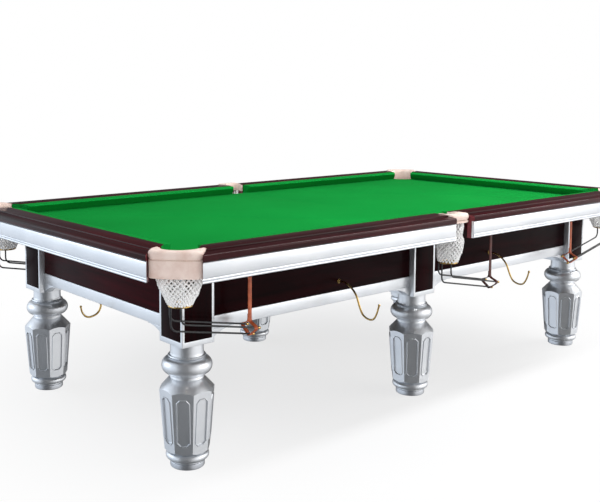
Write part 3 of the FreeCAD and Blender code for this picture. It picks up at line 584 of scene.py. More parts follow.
# ---------------------------------------------------------------- wooden rails
# Each rail is a solid mahogany cap with a bolted sub-rail and a skirt below it. The cap slopes to a rounded
# outer edge from a small step, and its ends are cut square to the pocket's mouth, so end grain shows there.
CAP = RAIL_HIGH.y - RAIL_LOW.y
CHANNEL = HALF_LONG + RAIL_LOW.x
MIDDLE_OUTER, MIDDLE_INNER = 0.064, 0.044
TOP, UNDER, STEP_AT = 0.876, 0.844, 0.054
MOULDING = ([(0.0025, UNDER), (0, UNDER + 0.003), (0, 0.861)] + arc((0.0085, 0.861), 0.0085, 172, 104, 6)
            + [(0.030, 0.8712), (STEP_AT, 0.8722), (STEP_AT, UNDER), (0.037, UNDER), (0.037, 0.765),
               (0.015, 0.765), (0.015, UNDER)])
SUB_RAIL = [(0.080, UNDER), (0.080, 0.790), (0.135, 0.790), (0.135, UNDER)]
HORN_AT, HORN_HALF = 0.217, 0.068
RAIL_EASE = 0.0011
QUARTERS = ((1, 1), (-1, 1), (1, -1), (-1, -1))


def corner_cut(depth):
    """Distance from the rails' corner to a rail's cut end, at that depth behind its outer face."""
    return CHANNEL + depth


def middle_cut(depth):
    """Half width of the gap between two rails at a middle pocket."""
    return MIDDLE_OUTER + (MIDDLE_INNER - MIDDLE_OUTER) * depth / CAP


def side_end(depth):
    """Distance along the front side to the cut end at its middle pocket."""
    return HALF_LONG - middle_cut(depth)


def far_end(depth):
    """Distance along the left end to the cut end at its far corner."""
    return 2 * HALF_WIDE - corner_cut(depth)


def stick(profile, start, end, steps=1):
    """A moulded length: (depth, height) points carried between two cut ends, given as functions of depth."""
    rings = []
    for i in range(steps + 1):
        share = i / steps
        rings.append([(start(a) + (end(a) - start(a)) * share, a, z) for a, z in profile])
    return rings


def side_spot(spot):
    """Where a stick's point lies when it runs along the front side's left half."""
    along, depth, z = spot
    return along - HALF_LONG, depth - HALF_WIDE, z


def end_spot(spot):
    """Where a stick's point lies when it runs along the left end."""
    along, depth, z = spot
    return depth - HALF_LONG, along - HALF_WIDE, z


def laid(rings, place, capped=True, cut=1):
    """A stick in its place, its cut ends in the slot given by cut."""
    points, faces = loft([[place(p) for p in ring] for ring in rings], capped=capped)
    run = Solid().add(points, faces)
    if capped:
        run.slots = [0] * (len(faces) - 2) + [cut] * 2
    return run


def side_places(run):
    """The four images of a front-left side piece, with their names."""
    return [("front_left", run), ("front_right", run.mirrored(x=-1)), ("back_left", run.mirrored(y=-1)),
            ("back_right", run.mirrored(-1, -1))]


def end_places(run):
    return [("end_left", run), ("end_right", run.mirrored(x=-1))]


def end_grain():
    """Cut end of a mahogany board: redder, with dark pores and arched rings."""
    wood = Finish("mahogany_end_grain", {"Coat Weight": 0.3, "Coat Roughness": 0.2})
    where = wood.place()
    pores = wood.cells(where, 900.0)
    rings = wood.noise(wood.place((60.0, 60.0, 260.0)), 1.0, detail=2.0)
    tone = wood.ramped(rings, (0.3, (0.10, 0.008, 0.012)), (0.7, (0.23, 0.020, 0.030)))
    wood.feed("Base Color", wood.mixed(0.5 - pores * 0.8, tone, (0.03, 0.004, 0.004, 1)))
    wood.feed("Roughness", 0.5 + rings * 0.2)
    wood.bump(pores, 0.0001)
    return wood.material


RAIL_TONES = (0.012, 0.0008, 0.0014), (0.070, 0.0036, 0.0070)
RAIL_LONG = mahogany("rail_mahogany_lengthways", "x", *RAIL_TONES, coat=0.32)
RAIL_CROSS = mahogany("rail_mahogany_crossways", "y", *RAIL_TONES, coat=0.32)
END_GRAIN = end_grain()


def board(to_middle):
    """The flat inner board in plan; behind the pocket's band its horns close in to the mouth."""
    root = (sqrt(2) * HORN_AT - CHANNEL) / 2
    tip = (sqrt(2) * HORN_AT - sqrt(2) * HORN_HALF) / 2
    start = [(STEP_AT, STEP_AT + CHANNEL), (root, root + CHANNEL), (tip, tip + sqrt(2) * HORN_HALF),
             (CAP, CAP + sqrt(2) * HORN_HALF)]
    if to_middle:
        end = [(CAP, side_end(CAP)), (STEP_AT, side_end(STEP_AT))]
    else:
        end = [(a, 2 * HALF_WIDE - along) for a, along in reversed(start)]
    return start + end, [1, 1, 2, 0] + ([1] if to_middle else [2, 1, 1]) + [0]


def plank(plan, slots, place):
    """A board of that plan between the cap's underside and its top."""
    points, faces = loft([[place((along, a, z)) for a, along in plan] for z in (UNDER, TOP)])
    solid = Solid().add(points, faces)
    solid.slots = slots + [0, 0]
    return solid


def rail(place, end, plan):
    """A whole rail: moulding with its skirt, sub-rail and flat board."""
    moulding, sub_rail = [laid(stick(profile, corner_cut, end), place) for profile in (MOULDING, SUB_RAIL)]
    return moulding.joined(sub_rail, plank(*plan, place))


side_rail = rail(side_spot, side_end, board(to_middle=True))
end_rail = rail(end_spot, far_end, board(to_middle=False))
for places, wood in ((side_places(side_rail), RAIL_LONG), (end_places(end_rail), RAIL_CROSS)):
    for where, run in places:
        run.piece("wooden_rail_" + where, [wood, END_GRAIN, CLOTH], "mahogany", ["rail_" + where],
                  edge=RAIL_EASE)


# ---------------------------------------------------------------- cushions
# Each cushion is a strip of firm rubber glued to the rail and covered in the same cloth, pulled tight under
# the nose. Its top falls gently to the nose, and its ends are rounded into the pocket jaws.
NOSE = 0.047
JAW_REAR, JAW_NOSE, MIDDLE_REAR, MIDDLE_NOSE = 0.2345, 0.247, 0.046, 0.056
BED = CLOTH_HIGH.z
DEPTHS = (0.0003, 0.010, 0.020, 0.028, 0.034, 0.038, 0.041, 0.0435, 0.0453, 0.0465, NOSE)


def cushion_top(depth):
    """Height of the cloth over the rubber, with a crown and a rounded nose."""
    share = depth / NOSE
    return 0.8742 - 0.0055 * share ** 2 - 0.0030 * max(0, (share - 0.9) / 0.1) ** 2


def cushion_under(depth):
    """Height of the cushion's underside: flat on the bed, then rising in a hollow to the nose."""
    rise = max(0, (depth - 0.022) / (NOSE - 0.022))
    return BED + 0.0004 + 0.0335 * rise ** 0.85


def rounded(depth, reach=0.022):
    """How far a jaw is rounded back towards the nose."""
    share = max(0, (depth - NOSE + reach) / reach)
    return 0.8 * reach * (1 - sqrt(max(0, 1 - share ** 2)))


def corner_jaw(depth):
    return JAW_REAR + (JAW_NOSE - JAW_REAR) * depth / NOSE + rounded(depth)


def middle_jaw(depth):
    return MIDDLE_REAR + (MIDDLE_NOSE - MIDDLE_REAR) * depth / NOSE + rounded(depth, 0.016)


def cushion(end, place, steps=24):
    """The strip from a corner jaw to its far end, closed at both ends by the cloth folded over them."""
    outline = [(d, cushion_top(d)) for d in DEPTHS] + [(d, cushion_under(d)) for d in reversed(DEPTHS)]
    rings = stick([(CAP + d, z) for d, z in outline], lambda a: corner_jaw(a - CAP), lambda a: end(a - CAP),
                  steps)
    strip = laid(rings, place, capped=False)
    count, last = len(outline), len(outline) * steps
    for first in (0, last):
        for k in range(len(DEPTHS) - 1):
            strip.faces.append([first + k, first + k + 1, first + count - 2 - k, first + count - 1 - k])
            strip.slots.append(0)
    return strip


side_cushion = cushion(lambda d: HALF_LONG - middle_jaw(d), side_spot)
end_cushion = cushion(lambda d: 2 * HALF_WIDE - corner_jaw(d), end_spot)
for where, run in side_places(side_cushion) + end_places(end_cushion):
    strip = run.piece("covered_cushion_" + where, [CLOTH], "cushion", ["cushion_" + where], smooth=50)


# ---------------------------------------------------------------- painted aprons and beads
# A silver fascia board covers the rail's edge under the cap.
# Below it runs a planted bead of two rolls.
APRON_PROFILE = [(0.015, 0.7872), (0.003, 0.7872), (0.003, 0.836), (0.0036, 0.8395), (0.0055, 0.8425),
                 (0.0085, UNDER), (0.015, UNDER)]
BEAD_PROFILE = ([(0.015, 0.768), (0.0065, 0.768)] + arc((0.0065, 0.7725), 0.0045, 250, 110, 6)
                + [(0.0068, 0.7778)] + arc((0.0055, 0.7822), 0.0040, 262, 110, 6)
                + [(0.0062, 0.787), (0.015, 0.787)])
side_apron = laid(stick(APRON_PROFILE, corner_cut, side_end), side_spot, cut=0)
end_apron = laid(stick(APRON_PROFILE, corner_cut, far_end), end_spot, cut=0)
side_bead = laid(stick(BEAD_PROFILE, corner_cut, side_end), side_spot, cut=0)
end_bead = laid(stick(BEAD_PROFILE, corner_cut, far_end), end_spot, cut=0)
Solid().joined(*[run for _, run in side_places(side_apron)]).piece(
    "side_fascias", [SILVER], "silver_paint", ["side_aprons"], edge=0.0006)
Solid().joined(*[run for _, run in end_places(end_apron)]).piece(
    "end_fascias", [SILVER], "silver_paint", ["end_aprons"], edge=0.0006)
Solid().joined(*[run for _, run in side_places(side_bead) + end_places(end_bead)]).piece(
    "planted_beads", [SILVER], "silver_paint", ["apron_beads"])


# ---------------------------------------------------------------- pocket leathers
# Each pocket is lined with a band of pale moulded hide, rolled over a stuffed rim and stitched under
# the roll. Its arms run between the rails' ends as far as the cushions.
LEATHER_TOP, SKIRT_LOW, MIDDLE_LOW = 0.880, 0.783, 0.8385
CORNERS = ((-1, -1), (1, -1), (-1, 1), (1, 1))
CORNER_MOUTH, CORNER_CENTRE, CORNER_HALF, CORNER_BACK = 0.0645, 0.2105, 0.0976, 0.2165
MIDDLE_MOUTH, MIDDLE_SLOT, MIDDLE_BACK = 0.044, 0.040, 0.1355
FULL_WIDTH = 0.034


def corner_point(depth, across, z):
    """From the front left corner: depth along the diagonal, and the distance across it."""
    return Vector((-HALF_LONG + (depth - across) / sqrt(2), -HALF_WIDE + (depth + across) / sqrt(2), z))


def middle_point(depth, across, z):
    return Vector((-across, -HALF_WIDE + depth, z))


def evenly(path, count):
    """Points at equal steps along a polyline."""
    lengths = [0.0]
    for a, b in zip(path, path[1:]):
        lengths.append(lengths[-1] + (Vector(b) - Vector(a)).length)
    found, k = [], 0
    for i in range(count):
        target = lengths[-1] * i / (count - 1)
        while k < len(path) - 2 and lengths[k + 1] < target:
            k += 1
        share = (target - lengths[k]) / (lengths[k + 1] - lengths[k])
        found.append(Vector(path[k]).lerp(Vector(path[k + 1]), min(1, share)))
    return found


def both_arms(half):
    """A half outline, from an arm's tip to the front, and its other half."""
    return half + [Vector((p.x, -p.y)) for p in reversed(half[:-1])]


def band_section(width, low, seam, top):
    """(distance from the outer face, height) round a band: skirt, stitched groove, stuffed roll, mouth."""
    skirt = [(0.0032, low), (0.0020, low + 0.0015)]
    skirt += [(0.0016 + 0.0006 * sin(pi * i / 5), low + (seam - 0.004 - low) * i / 5)
              for i in range(1, 5)]
    groove = [(0.0020, seam - 0.004), (0.0056, seam - 0.0015), (0.0064, seam)]
    rolled = [(0.0048, seam + 0.0018), (0.0014, seam + 0.0055), (0.0, seam + 0.012)]
    rolled += [(0.0, top - 0.012), (0.0016, top - 0.0065), (0.0050, top - 0.0026), (0.0105, top - 0.0004),
               (0.0160, top)]
    inner = [(width - 0.0165, top - 0.0006), (width - 0.0100, top - 0.0026), (width - 0.0045, top - 0.0068),
             (width - 0.0012, top - 0.0130), (width, top - 0.021), (width, low + 0.0015),
             (width - 0.0012, low)]
    if width < FULL_WIDTH:
        squeeze = width / FULL_WIDTH
        rolled = [(a * squeeze, z) for a, z in rolled]
        inner = [(width - (width - a) * squeeze, z) for a, z in inner]
        groove = [(a * squeeze, z) for a, z in groove]
        skirt = [(a * squeeze, z) for a, z in skirt]
    return skirt + groove + rolled + inner


def band(outer, inner, place, low, roll, sunk_from):
    """A pocket's band, lofted round from one arm's tip to the other, and the line its stitches follow."""
    rings, seam = [], []
    for o, i in zip(outer, inner):
        inward = (i - o).normalized()
        width = (i - o).length
        sunk = min(1, max(0, (o.x - sunk_from) / 0.05))
        section = band_section(width, low, LEATHER_TOP - roll, LEATHER_TOP - 0.0055 * sunk ** 2)
        ring = [place(*(o + inward * a), z) for a, z in section]
        for share in (0.25, 0.5, 0.75):
            spot = i.lerp(o, share)
            ring.append(place(*spot, low))
        rings.append(ring)
        seam.append(place(*(o + inward * 0.0052), LEATHER_TOP - roll - 0.0005))
    return Solid().add(*loft(rings)), seam


def pocket_outline(front, side, back, front_half, back_half, square):
    """Half of a band's outer outline: along the rail's end, round the corner and across the bulged front."""
    path = [(back, back_half), (back - 0.004, back_half)]
    path += [(front + side - 0.0001, front_half)]
    for i in range(1, 25):
        t = radians(90 * i / 24)
        path.append((front + side * (1 - sin(t) ** (2 / square)), front_half * cos(t) ** (2 / square)))
    return evenly(path, 40)


def pocket_mouth(centre, radius, slot, back):
    """Half of a band's inner outline: along the slot, then round the hole to the front."""
    start = asin(slot / radius) * 180 / pi
    path = [(back, slot)] + arc((centre, 0), radius, start, 180, 40)
    return evenly(path, 40)


def pocket_hide():
    """Pale tanned hide: fine grain, soft mottling and paler creases."""
    hide = Finish("pocket_hide", {"Specular IOR Level": 0.35, "Sheen Weight": 0.05})
    where = hide.place()
    grain = hide.cells(where, 620.0)
    mottle = hide.noise(where, 22.0, detail=4.0)
    crease = hide.noise(where, 150.0, detail=3.0, warp=1.5)
    tone = hide.ramped(mottle, (0.3, (0.70, 0.49, 0.41)), (0.65, (0.86, 0.69, 0.61)))
    hide.feed("Base Color", hide.mixed(crease * 0.3, tone, (0.92, 0.82, 0.77, 1)))
    hide.feed("Roughness", 0.48 + grain * 0.3)
    hide.bump(grain * 0.6 + crease, 0.0006)
    return hide.material


HIDE = pocket_hide()
corner_outer = both_arms(pocket_outline(0.1005, 0.036, CORNER_BACK, CORNER_HALF, CORNER_HALF, 2.9))
corner_inner = both_arms(pocket_mouth(CORNER_CENTRE, CORNER_MOUTH, CORNER_MOUTH, CORNER_BACK))
middle_outer = both_arms(pocket_outline(0.0205, 0.016, MIDDLE_BACK, 0.0590, 0.0438, 3.2))
middle_inner = both_arms(pocket_mouth(MIDDLE_HOLE, MIDDLE_MOUTH, MIDDLE_SLOT, MIDDLE_BACK))
corner_band, corner_seam = band(corner_outer, corner_inner, corner_point, SKIRT_LOW, 0.032, 0.150)
middle_band, middle_seam = band(middle_outer, middle_inner, middle_point, MIDDLE_LOW, 0.030, 0.070)
Solid().joined(*[corner_band.mirrored(x, y) for x, y in QUARTERS]).piece(
    "corner_pocket_bands", [HIDE], "pocket_leather", ["corner_leathers"], smooth=50)
Solid().joined(middle_band, middle_band.mirrored(y=-1)).piece(
    "middle_pocket_bands", [HIDE], "pocket_leather", ["middle_leathers"], smooth=50)


# ---------------------------------------------------------------- stitching round the pockets
# A row of waxed linen stitches closes each band under its roll.
# They lie end to end, one to every six millimetres.
class Growth(Nodes):
    """A Geometry Nodes group, fed with a mesh of guide points and named sizes."""

    def __init__(self, name, sizes):
        tree = bpy.data.node_groups.new(name, "GeometryNodeTree")
        super().__init__(tree)
        tree.interface.new_socket("Guide", in_out="INPUT", socket_type="NodeSocketGeometry")
        self.sizes = {}
        for label, value in sizes.items():
            socket = tree.interface.new_socket(label, in_out="INPUT", socket_type="NodeSocketFloat")
            self.sizes[socket.identifier] = value
        tree.interface.new_socket("Grown", in_out="OUTPUT", socket_type="NodeSocketGeometry")
        self.given = tree.nodes.new("NodeGroupInput")
        self.result = tree.nodes.new("NodeGroupOutput")

    def size(self, label):
        return Wire(self, self.given.outputs[label])

    def placed(self, points, shape, turn, scale, chosen=None):
        """One shape put on every chosen point, as real geometry."""
        inputs = {"Points": points, "Instance": shape, "Rotation": turn, "Scale": scale}
        if chosen:
            inputs["Selection"] = chosen
        return self.node("GeometryNodeInstanceOnPoints", None, inputs)

    def grow(self, guide, parts, material):
        """Join the parts, make them real, give them the material, and return the plain mesh."""
        join = self.tree.nodes.new("GeometryNodeJoinGeometry")
        for part in parts:
            self.tree.links.new(part.socket, join.inputs[0])
        real = self.node("GeometryNodeRealizeInstances", None, {0: Wire(self, join.outputs[0])})
        smooth = self.node("GeometryNodeSetShadeSmooth", None, {0: real})
        coated = self.node("GeometryNodeSetMaterial", None, {"Geometry": smooth, "Material": material})
        self.tree.links.new(coated.socket, self.result.inputs[0])
        carrier = bpy.data.objects.new("carrier", guide)
        bpy.context.scene.collection.objects.link(carrier)
        modifier = carrier.modifiers.new("growth", "NODES")
        modifier.node_group = self.tree
        for identifier, value in self.sizes.items():
            modifier[identifier] = value
        grown = carrier.evaluated_get(bpy.context.evaluated_depsgraph_get())
        mesh = bpy.data.meshes.new_from_object(grown)
        bpy.data.objects.remove(carrier)
        return mesh


def guide_mesh(name, points, edges):
    mesh = bpy.data.meshes.new(name)
    mesh.from_pydata(points, edges, [])
    return mesh


def chains(lines):
    """Points and edges of several open lines."""
    points, edges = [], []
    for line in lines:
        first = len(points)
        points += [Vector(p) for p in line]
        edges += [(first + k, first + k + 1) for k in range(len(line) - 1)]
    return points, edges


def waxed_thread():
    """Waxed linen, cream, with a fine twist."""
    thread = Finish("waxed_thread", {"Specular IOR Level": 0.3})
    twist = thread.noise(thread.place((900, 900, 2600)), 1.0)
    thread.feed("Base Color", thread.ramped(twist, (0.35, (0.42, 0.30, 0.22)), (0.7, (0.82, 0.72, 0.62))))
    thread.feed("Roughness", 0.5 + twist * 0.3)
    thread.bump(twist, 0.0002)
    return thread.material


def stitched(name, lines, finish):
    """Stitches laid end to end along the lines."""
    growth = Growth(name, {"Pitch": 0.0062, "Length": 0.0021, "Thickness": 0.0008})
    curve = growth.node("GeometryNodeMeshToCurve", None, {"Mesh": growth.size("Guide")})
    even = growth.node("GeometryNodeResampleCurve", {"mode": "LENGTH"},
                       {"Curve": curve, "Length": growth.size("Pitch")})
    stitch = growth.node("GeometryNodeMeshIcoSphere", None, {"Radius": 1.0, "Subdivisions": 2})
    ahead = growth.node("GeometryNodeInputTangent")
    turn = growth.node("FunctionNodeAlignRotationToVector", {"axis": "X"}, {"Vector": ahead})
    thick = growth.size("Thickness")
    scale = growth.node("ShaderNodeCombineXYZ", None, {"X": growth.size("Length"), "Y": thick, "Z": thick})
    stitches = growth.placed(even, stitch, turn, scale)
    mesh = growth.grow(guide_mesh(name + "_guide", *chains(lines)), [stitches], finish)
    return finished(mesh, name, [finish], [], smooth=80)


def images(line, x=1, y=1):
    return [Vector((p.x * x, p.y * y, p.z)) for p in line]


THREAD = waxed_thread()
seams = [images(corner_seam, x, y) for x in (1, -1) for y in (1, -1)]
seams += [images(middle_seam, 1, y) for y in (1, -1)]
stitched("band_stitches", seams, THREAD)


# ---------------------------------------------------------------- nets
# The nets are knotted by hand from white cotton cord. They hang from eyelets in the bands on short upright
# strands, and close in to a brass ring, where the last knots sit side by side.
def net_lines(top_radius, top, low_radius, low, rows, around, chance, swell, swell_from, lean):
    """Knots and cords of one net about the origin: points, edges and which points are knots."""
    points, edges, knots = [], [], []
    grid = []
    for row in range(rows + 2):
        share = max(0, row - 1) / rows
        swollen = max(0, (share - swell_from) / (1 - swell_from)) ** 0.7
        radius = top_radius + (low_radius - top_radius) * share + swell * sin(pi * swollen)
        height = top + (low - top) * (0.09 + 0.91 * share) if row else top + 0.002
        ring = []
        for k in range(around):
            staggered = k + 0.5 * ((row + (row == 0)) % 2)
            turn = 2 * pi * staggered / around + chance.uniform(-0.02, 0.02) * (row > 0)
            reach = radius + chance.uniform(-0.0016, 0.0016)
            lift = chance.uniform(-0.0014, 0.0014)
            ring.append(len(points))
            points.append(Vector((reach * cos(turn), reach * sin(turn) - lean * (1 - share), height + lift)))
            knots.append(row > 0)
        grid.append(ring)
    for row in range(rows + 1):
        for k in range(around):
            joins = [k] if row == 0 else [k, (k + (1 if row % 2 else -1)) % around]
            for other in joins:
                a, b = points[grid[row][k]], points[grid[row + 1][other]]
                spot = (a + b) / 2
                spot += Vector((spot.x, spot.y, 0)).normalized() * 0.0012 - Vector((0, 0, 0.0008))
                points.append(spot)
                knots.append(False)
                edges += [(grid[row][k], len(points) - 1), (len(points) - 1, grid[row + 1][other])]
    return points, edges, knots


def knotted(name, net, spots, finish, cord, knot, nodes):
    """Copies of a net at several pockets, grown into cords and knots."""
    points, edges, knots = [], [], []
    for spot in spots:
        first = len(points)
        side = -1 if spot[1] > 0 else 1
        points += [Vector((p.x, p.y * side, p.z)) + Vector(spot) for p in net[0]]
        edges += [(a + first, b + first) for a, b in net[1]]
        knots += net[2]
    mesh = guide_mesh(name + "_guide", points, edges)
    marks = mesh.attributes.new("knot", "BOOLEAN", "POINT")
    for mark, tied in zip(marks.data, knots):
        mark.value = tied
    growth = Growth(name, {"Cord": cord, "Knot": knot})
    line = growth.node("GeometryNodeMeshToCurve", None, {"Mesh": growth.size("Guide")})
    round_cord = growth.node("GeometryNodeCurvePrimitiveCircle", None,
                             {"Resolution": 5, "Radius": growth.size("Cord")})
    cords = growth.node("GeometryNodeCurveToMesh", None, {"Curve": line, "Profile Curve": round_cord})
    lump = growth.node("GeometryNodeMeshIcoSphere", None, {"Radius": growth.size("Knot"), "Subdivisions": 2})
    tied = growth.node("GeometryNodeInputNamedAttribute", {"data_type": "BOOLEAN"}, {"Name": "knot"})
    turn = growth.node("FunctionNodeRandomValue", {"data_type": "FLOAT_VECTOR"},
                       {"Max": (3.1, 3.1, 3.1), "Seed": 5})
    scale = growth.node("FunctionNodeRandomValue", {"data_type": "FLOAT_VECTOR"},
                        {"Min": (0.8, 0.7, 0.75), "Max": (1.2, 1.1, 1.25), "Seed": 9})
    lumps = growth.placed(growth.size("Guide"), lump, turn, scale, chosen=tied)
    grown = growth.grow(mesh, [cords, lumps], finish)
    return finished(grown, name, [finish], nodes, smooth=80)


def cotton_cord():
    """White twisted cotton, a little fuzzy, with painted shade greying the hollows between its strands."""
    cotton = Finish("cotton_cord", {"Specular IOR Level": 0.2, "Sheen Weight": 0.1})
    strands = cotton.noise(cotton.place((700, 700, 1500)), 1.0, detail=2.0)
    soil = cotton.noise(cotton.place(), 30.0)
    # The strand pattern's darker stripes are painted shade in the twist's hollows; the same pattern also
    # sets roughness and bump.
    tone = cotton.ramped(strands, (0.3, (0.76, 0.76, 0.76)), (0.6, (0.97, 0.97, 0.97)))
    cotton.feed("Base Color", cotton.mixed(soil * 0.25, tone, (0.80, 0.77, 0.72, 1)))
    cotton.feed("Roughness", 0.75 + strands * 0.2)
    cotton.bump(strands, 0.0005)
    return cotton.material


COTTON = cotton_cord()
RING_RADIUS, RING_WIRE = 0.041, 0.004
CORNER_SET_IN, MIDDLE_SET_IN = 0.150, 0.094
NET_FOOT, NET_CORD, NET_KNOT = 0.0425, 0.0026, 0.0053
net_low, net_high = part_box("corner_nets")
corner_ring_z = net_low.z - RING_WIRE
net_x, net_y = HALF_LONG - CORNER_SET_IN, HALF_WIDE - CORNER_SET_IN
middle_low, middle_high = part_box("middle_nets")
middle_ring_z = middle_low.z - RING_WIRE
middle_y = HALF_WIDE - MIDDLE_SET_IN
corner_net = net_lines(0.081, net_high.z, NET_FOOT, net_low.z + 0.002, 10, 26, random.Random(3), 0.006, 0, 0)
middle_net = net_lines(0.0452, middle_high.z, NET_FOOT, middle_low.z + 0.002, 16, 18, random.Random(4),
                       swell=0.012, swell_from=0.28, lean=0.022)
knotted("corner_knotted_nets", corner_net, [(x * net_x, y * net_y, 0) for x, y in CORNERS], COTTON,
        NET_CORD, NET_KNOT, ["corner_nets"])
knotted("middle_knotted_nets", middle_net, [(0, y * middle_y, 0) for y in (-1, 1)], COTTON,
        NET_CORD, NET_KNOT, ["middle_nets"])


# ---------------------------------------------------------------- rings and ferrules
# Each net closes on a ring of polished brass wire, and the rods stand under it.
# The same brass caps the rods and makes the screws and hooks.
def tube(path, radius, sides=12, closed=False):
    """Round wire along a path; radius may be one number or one for each point."""
    count = len(path)
    radii = radius if isinstance(radius, list) else [radius] * count
    spots = [Vector(p) for p in path]
    rings, side = [], None
    for i, spot in enumerate(spots):
        after = spots[(i + 1) % count] if closed or i < count - 1 else spot
        before = spots[i - 1] if closed or i > 0 else spot
        ahead = (after - before).normalized()
        if side is None:
            side = ahead.orthogonal().normalized()
        side = (side - ahead * side.dot(ahead)).normalized()
        other = ahead.cross(side)
        turns = [2 * pi * k / sides for k in range(sides)]
        rings.append([spot + (side * cos(t) + other * sin(t)) * radii[i] for t in turns])
    if closed:
        return loft(rings + rings[:1], capped=False)
    return loft(rings)


def brass():
    """Lacquered brass with faint tarnish and polishing marks."""
    metal = Finish("polished_brass", {"Metallic": 1.0, "Coat Weight": 0.2, "Coat Roughness": 0.1})
    where = metal.place()
    tarnish = metal.noise(where, 60.0, detail=4.0)
    marks = metal.noise(metal.place((1200, 1200, 90), (0.3, 0.2, 0)), 1.0)
    metal.feed("Base Color", metal.ramped(tarnish, (0.35, (0.62, 0.38, 0.11)), (0.6, (0.86, 0.60, 0.22))))
    metal.feed("Roughness", 0.14 + tarnish * 0.16 + marks * 0.08)
    metal.bump(marks, 0.00004)
    return metal.material


BRASS = brass()


def ring_at(x, y, z):
    turns = [2 * pi * k / 64 for k in range(64)]
    path = [(x + RING_RADIUS * cos(t), y + RING_RADIUS * sin(t), z) for t in turns]
    return tube(path, RING_WIRE, 14, closed=True)


corner_rings, middle_rings = Solid(), Solid()
for x, y in CORNERS:
    corner_rings.add(*ring_at(x * net_x, y * net_y, corner_ring_z))
for y in (-1, 1):
    middle_rings.add(*ring_at(0, y * middle_y, middle_ring_z))
corner_rings.piece("corner_net_rings", [BRASS], "brass", ["corner_rings"], smooth=80)
middle_rings.piece("middle_net_rings", [BRASS], "brass", ["middle_rings"], smooth=80)


# ---------------------------------------------------------------- ball runner rods
# Three rods under each net drop from the ring, bend and slope away under the bed. They are steel with
# a black plastic sleeve, so that the balls roll quietly.
RUN_BEND, RUN_REACH, RUN_SLOPE, ROD = 0.030, 0.330, radians(11.3), 0.0035
RUN_SIDE, SIDE_DROP, KEEL_DROP = 0.035, 0.036, 0.063
AHEAD = Vector((cos(RUN_SLOPE), 0, -sin(RUN_SLOPE)))


def rod_path(side, drop):
    """From the ring down, round the bend and along the slope, about the ring's centre."""
    behind = -sqrt(RING_RADIUS ** 2 - side ** 2)
    low = Vector((behind, side, -drop))
    path = [Vector((behind, side, -RING_WIRE * 0.8)), low + Vector((0, 0, 0.004))]
    for i in range(15):
        turn = (pi / 2 - RUN_SLOPE) * i / 14
        path.append(low + Vector((RUN_BEND * (1 - cos(turn)), 0, -RUN_BEND * sin(turn))))
    reach = (RUN_REACH - path[-1].x) / AHEAD.x
    path += [path[-1] + AHEAD * (reach * i / 8) for i in range(1, 9)]
    return path


def everywhere(build, middle_slot=0):
    """A corner's parts at four corners and a middle's at both sides, mirrored with the runners."""
    corner = build((-net_x, -net_y, corner_ring_z))
    middle = build((0, -middle_y, middle_ring_z))
    middle.slots = [middle_slot] * len(middle.faces)
    corners = [corner.mirrored(x, y) for x, y in QUARTERS]
    return Solid().joined(*corners, middle, middle.mirrored(y=-1))


def sleeve():
    """Black sleeving: satin, with scuffs where balls have run."""
    skin = Finish("black_sleeve", {"Specular IOR Level": 0.6})
    scuff = skin.noise(skin.place((8, 300, 300)), 1.0, detail=3.0)
    fine = skin.noise(skin.place(), 900.0)
    skin.feed("Base Color", skin.ramped(scuff, (0.4, (0.006, 0.006, 0.007)), (0.75, (0.035, 0.036, 0.040))))
    skin.feed("Roughness", 0.22 + fine * 0.15 + scuff * 0.1)
    skin.bump(fine, 0.00006)
    return skin.material


RODS = [rod_path(RUN_SIDE, SIDE_DROP), rod_path(-RUN_SIDE, SIDE_DROP), rod_path(0, KEEL_DROP)]


def rods_at(ring):
    rods = Solid()
    for path in RODS:
        rods.add(*tube([p + Vector(ring) for p in path], ROD))
    return rods


def caps_at(ring):
    """A turned cap: a plain sleeve, a bead and a domed end."""
    caps = Solid()
    shape = [(-0.001, 0.0042), (0, 0.0052), (0.0062, 0.0052), (0.0068, 0.0046), (0.0074, 0.0052),
             (0.0096, 0.0055), (0.0110, 0.0046), (0.0118, 0.0028), (0.012, 0.0012)]
    for path in RODS:
        end = path[-1] + Vector(ring)
        caps.add(*tube([end + AHEAD * along for along, _ in shape], [r for _, r in shape], 24))
    return caps


everywhere(rods_at).piece("sleeved_rods", [sleeve()], "black_rod", ["ball_runners"], smooth=60)
everywhere(caps_at).piece("rod_caps", [BRASS], "brass", ["runner_ferrules"], smooth=40)


# ---------------------------------------------------------------- runner straps
# A strap of bridle leather hangs from a block on the frame and loops round each set of rods. Its edges are
# burnished, and two brass screws hold its top. The middle straps are of darker hide.
STRAP_HALF, STRAP_SKIN = 0.009, 0.0015
SCREW_PROFILE = ((0.0034, 0.0002), (0.0034, 0.0008), (0.0030, 0.0018), (0.0022, 0.0025), (0.0012, 0.0029))
STRAP_AT = RUN_REACH - 0.012
STRAP_TOPS = (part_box("side_beam_front_left")[1].z, 0.790)


def soft_path(points, steps=8):
    """A smooth line through the points."""
    spots = [Vector(p) for p in points]
    padded = [2 * spots[0] - spots[1]] + spots + [2 * spots[-1] - spots[-2]]
    found = []
    for a, b, c, d in zip(padded, padded[1:], padded[2:], padded[3:]):
        for i in range(steps):
            t = i / steps
            found.append(0.5 * (2 * b + (c - a) * t + (2 * a - 5 * b + 4 * c - d) * t ** 2
                                + (3 * b - a - 3 * c + d) * t ** 3))
    return found + [spots[-1]]


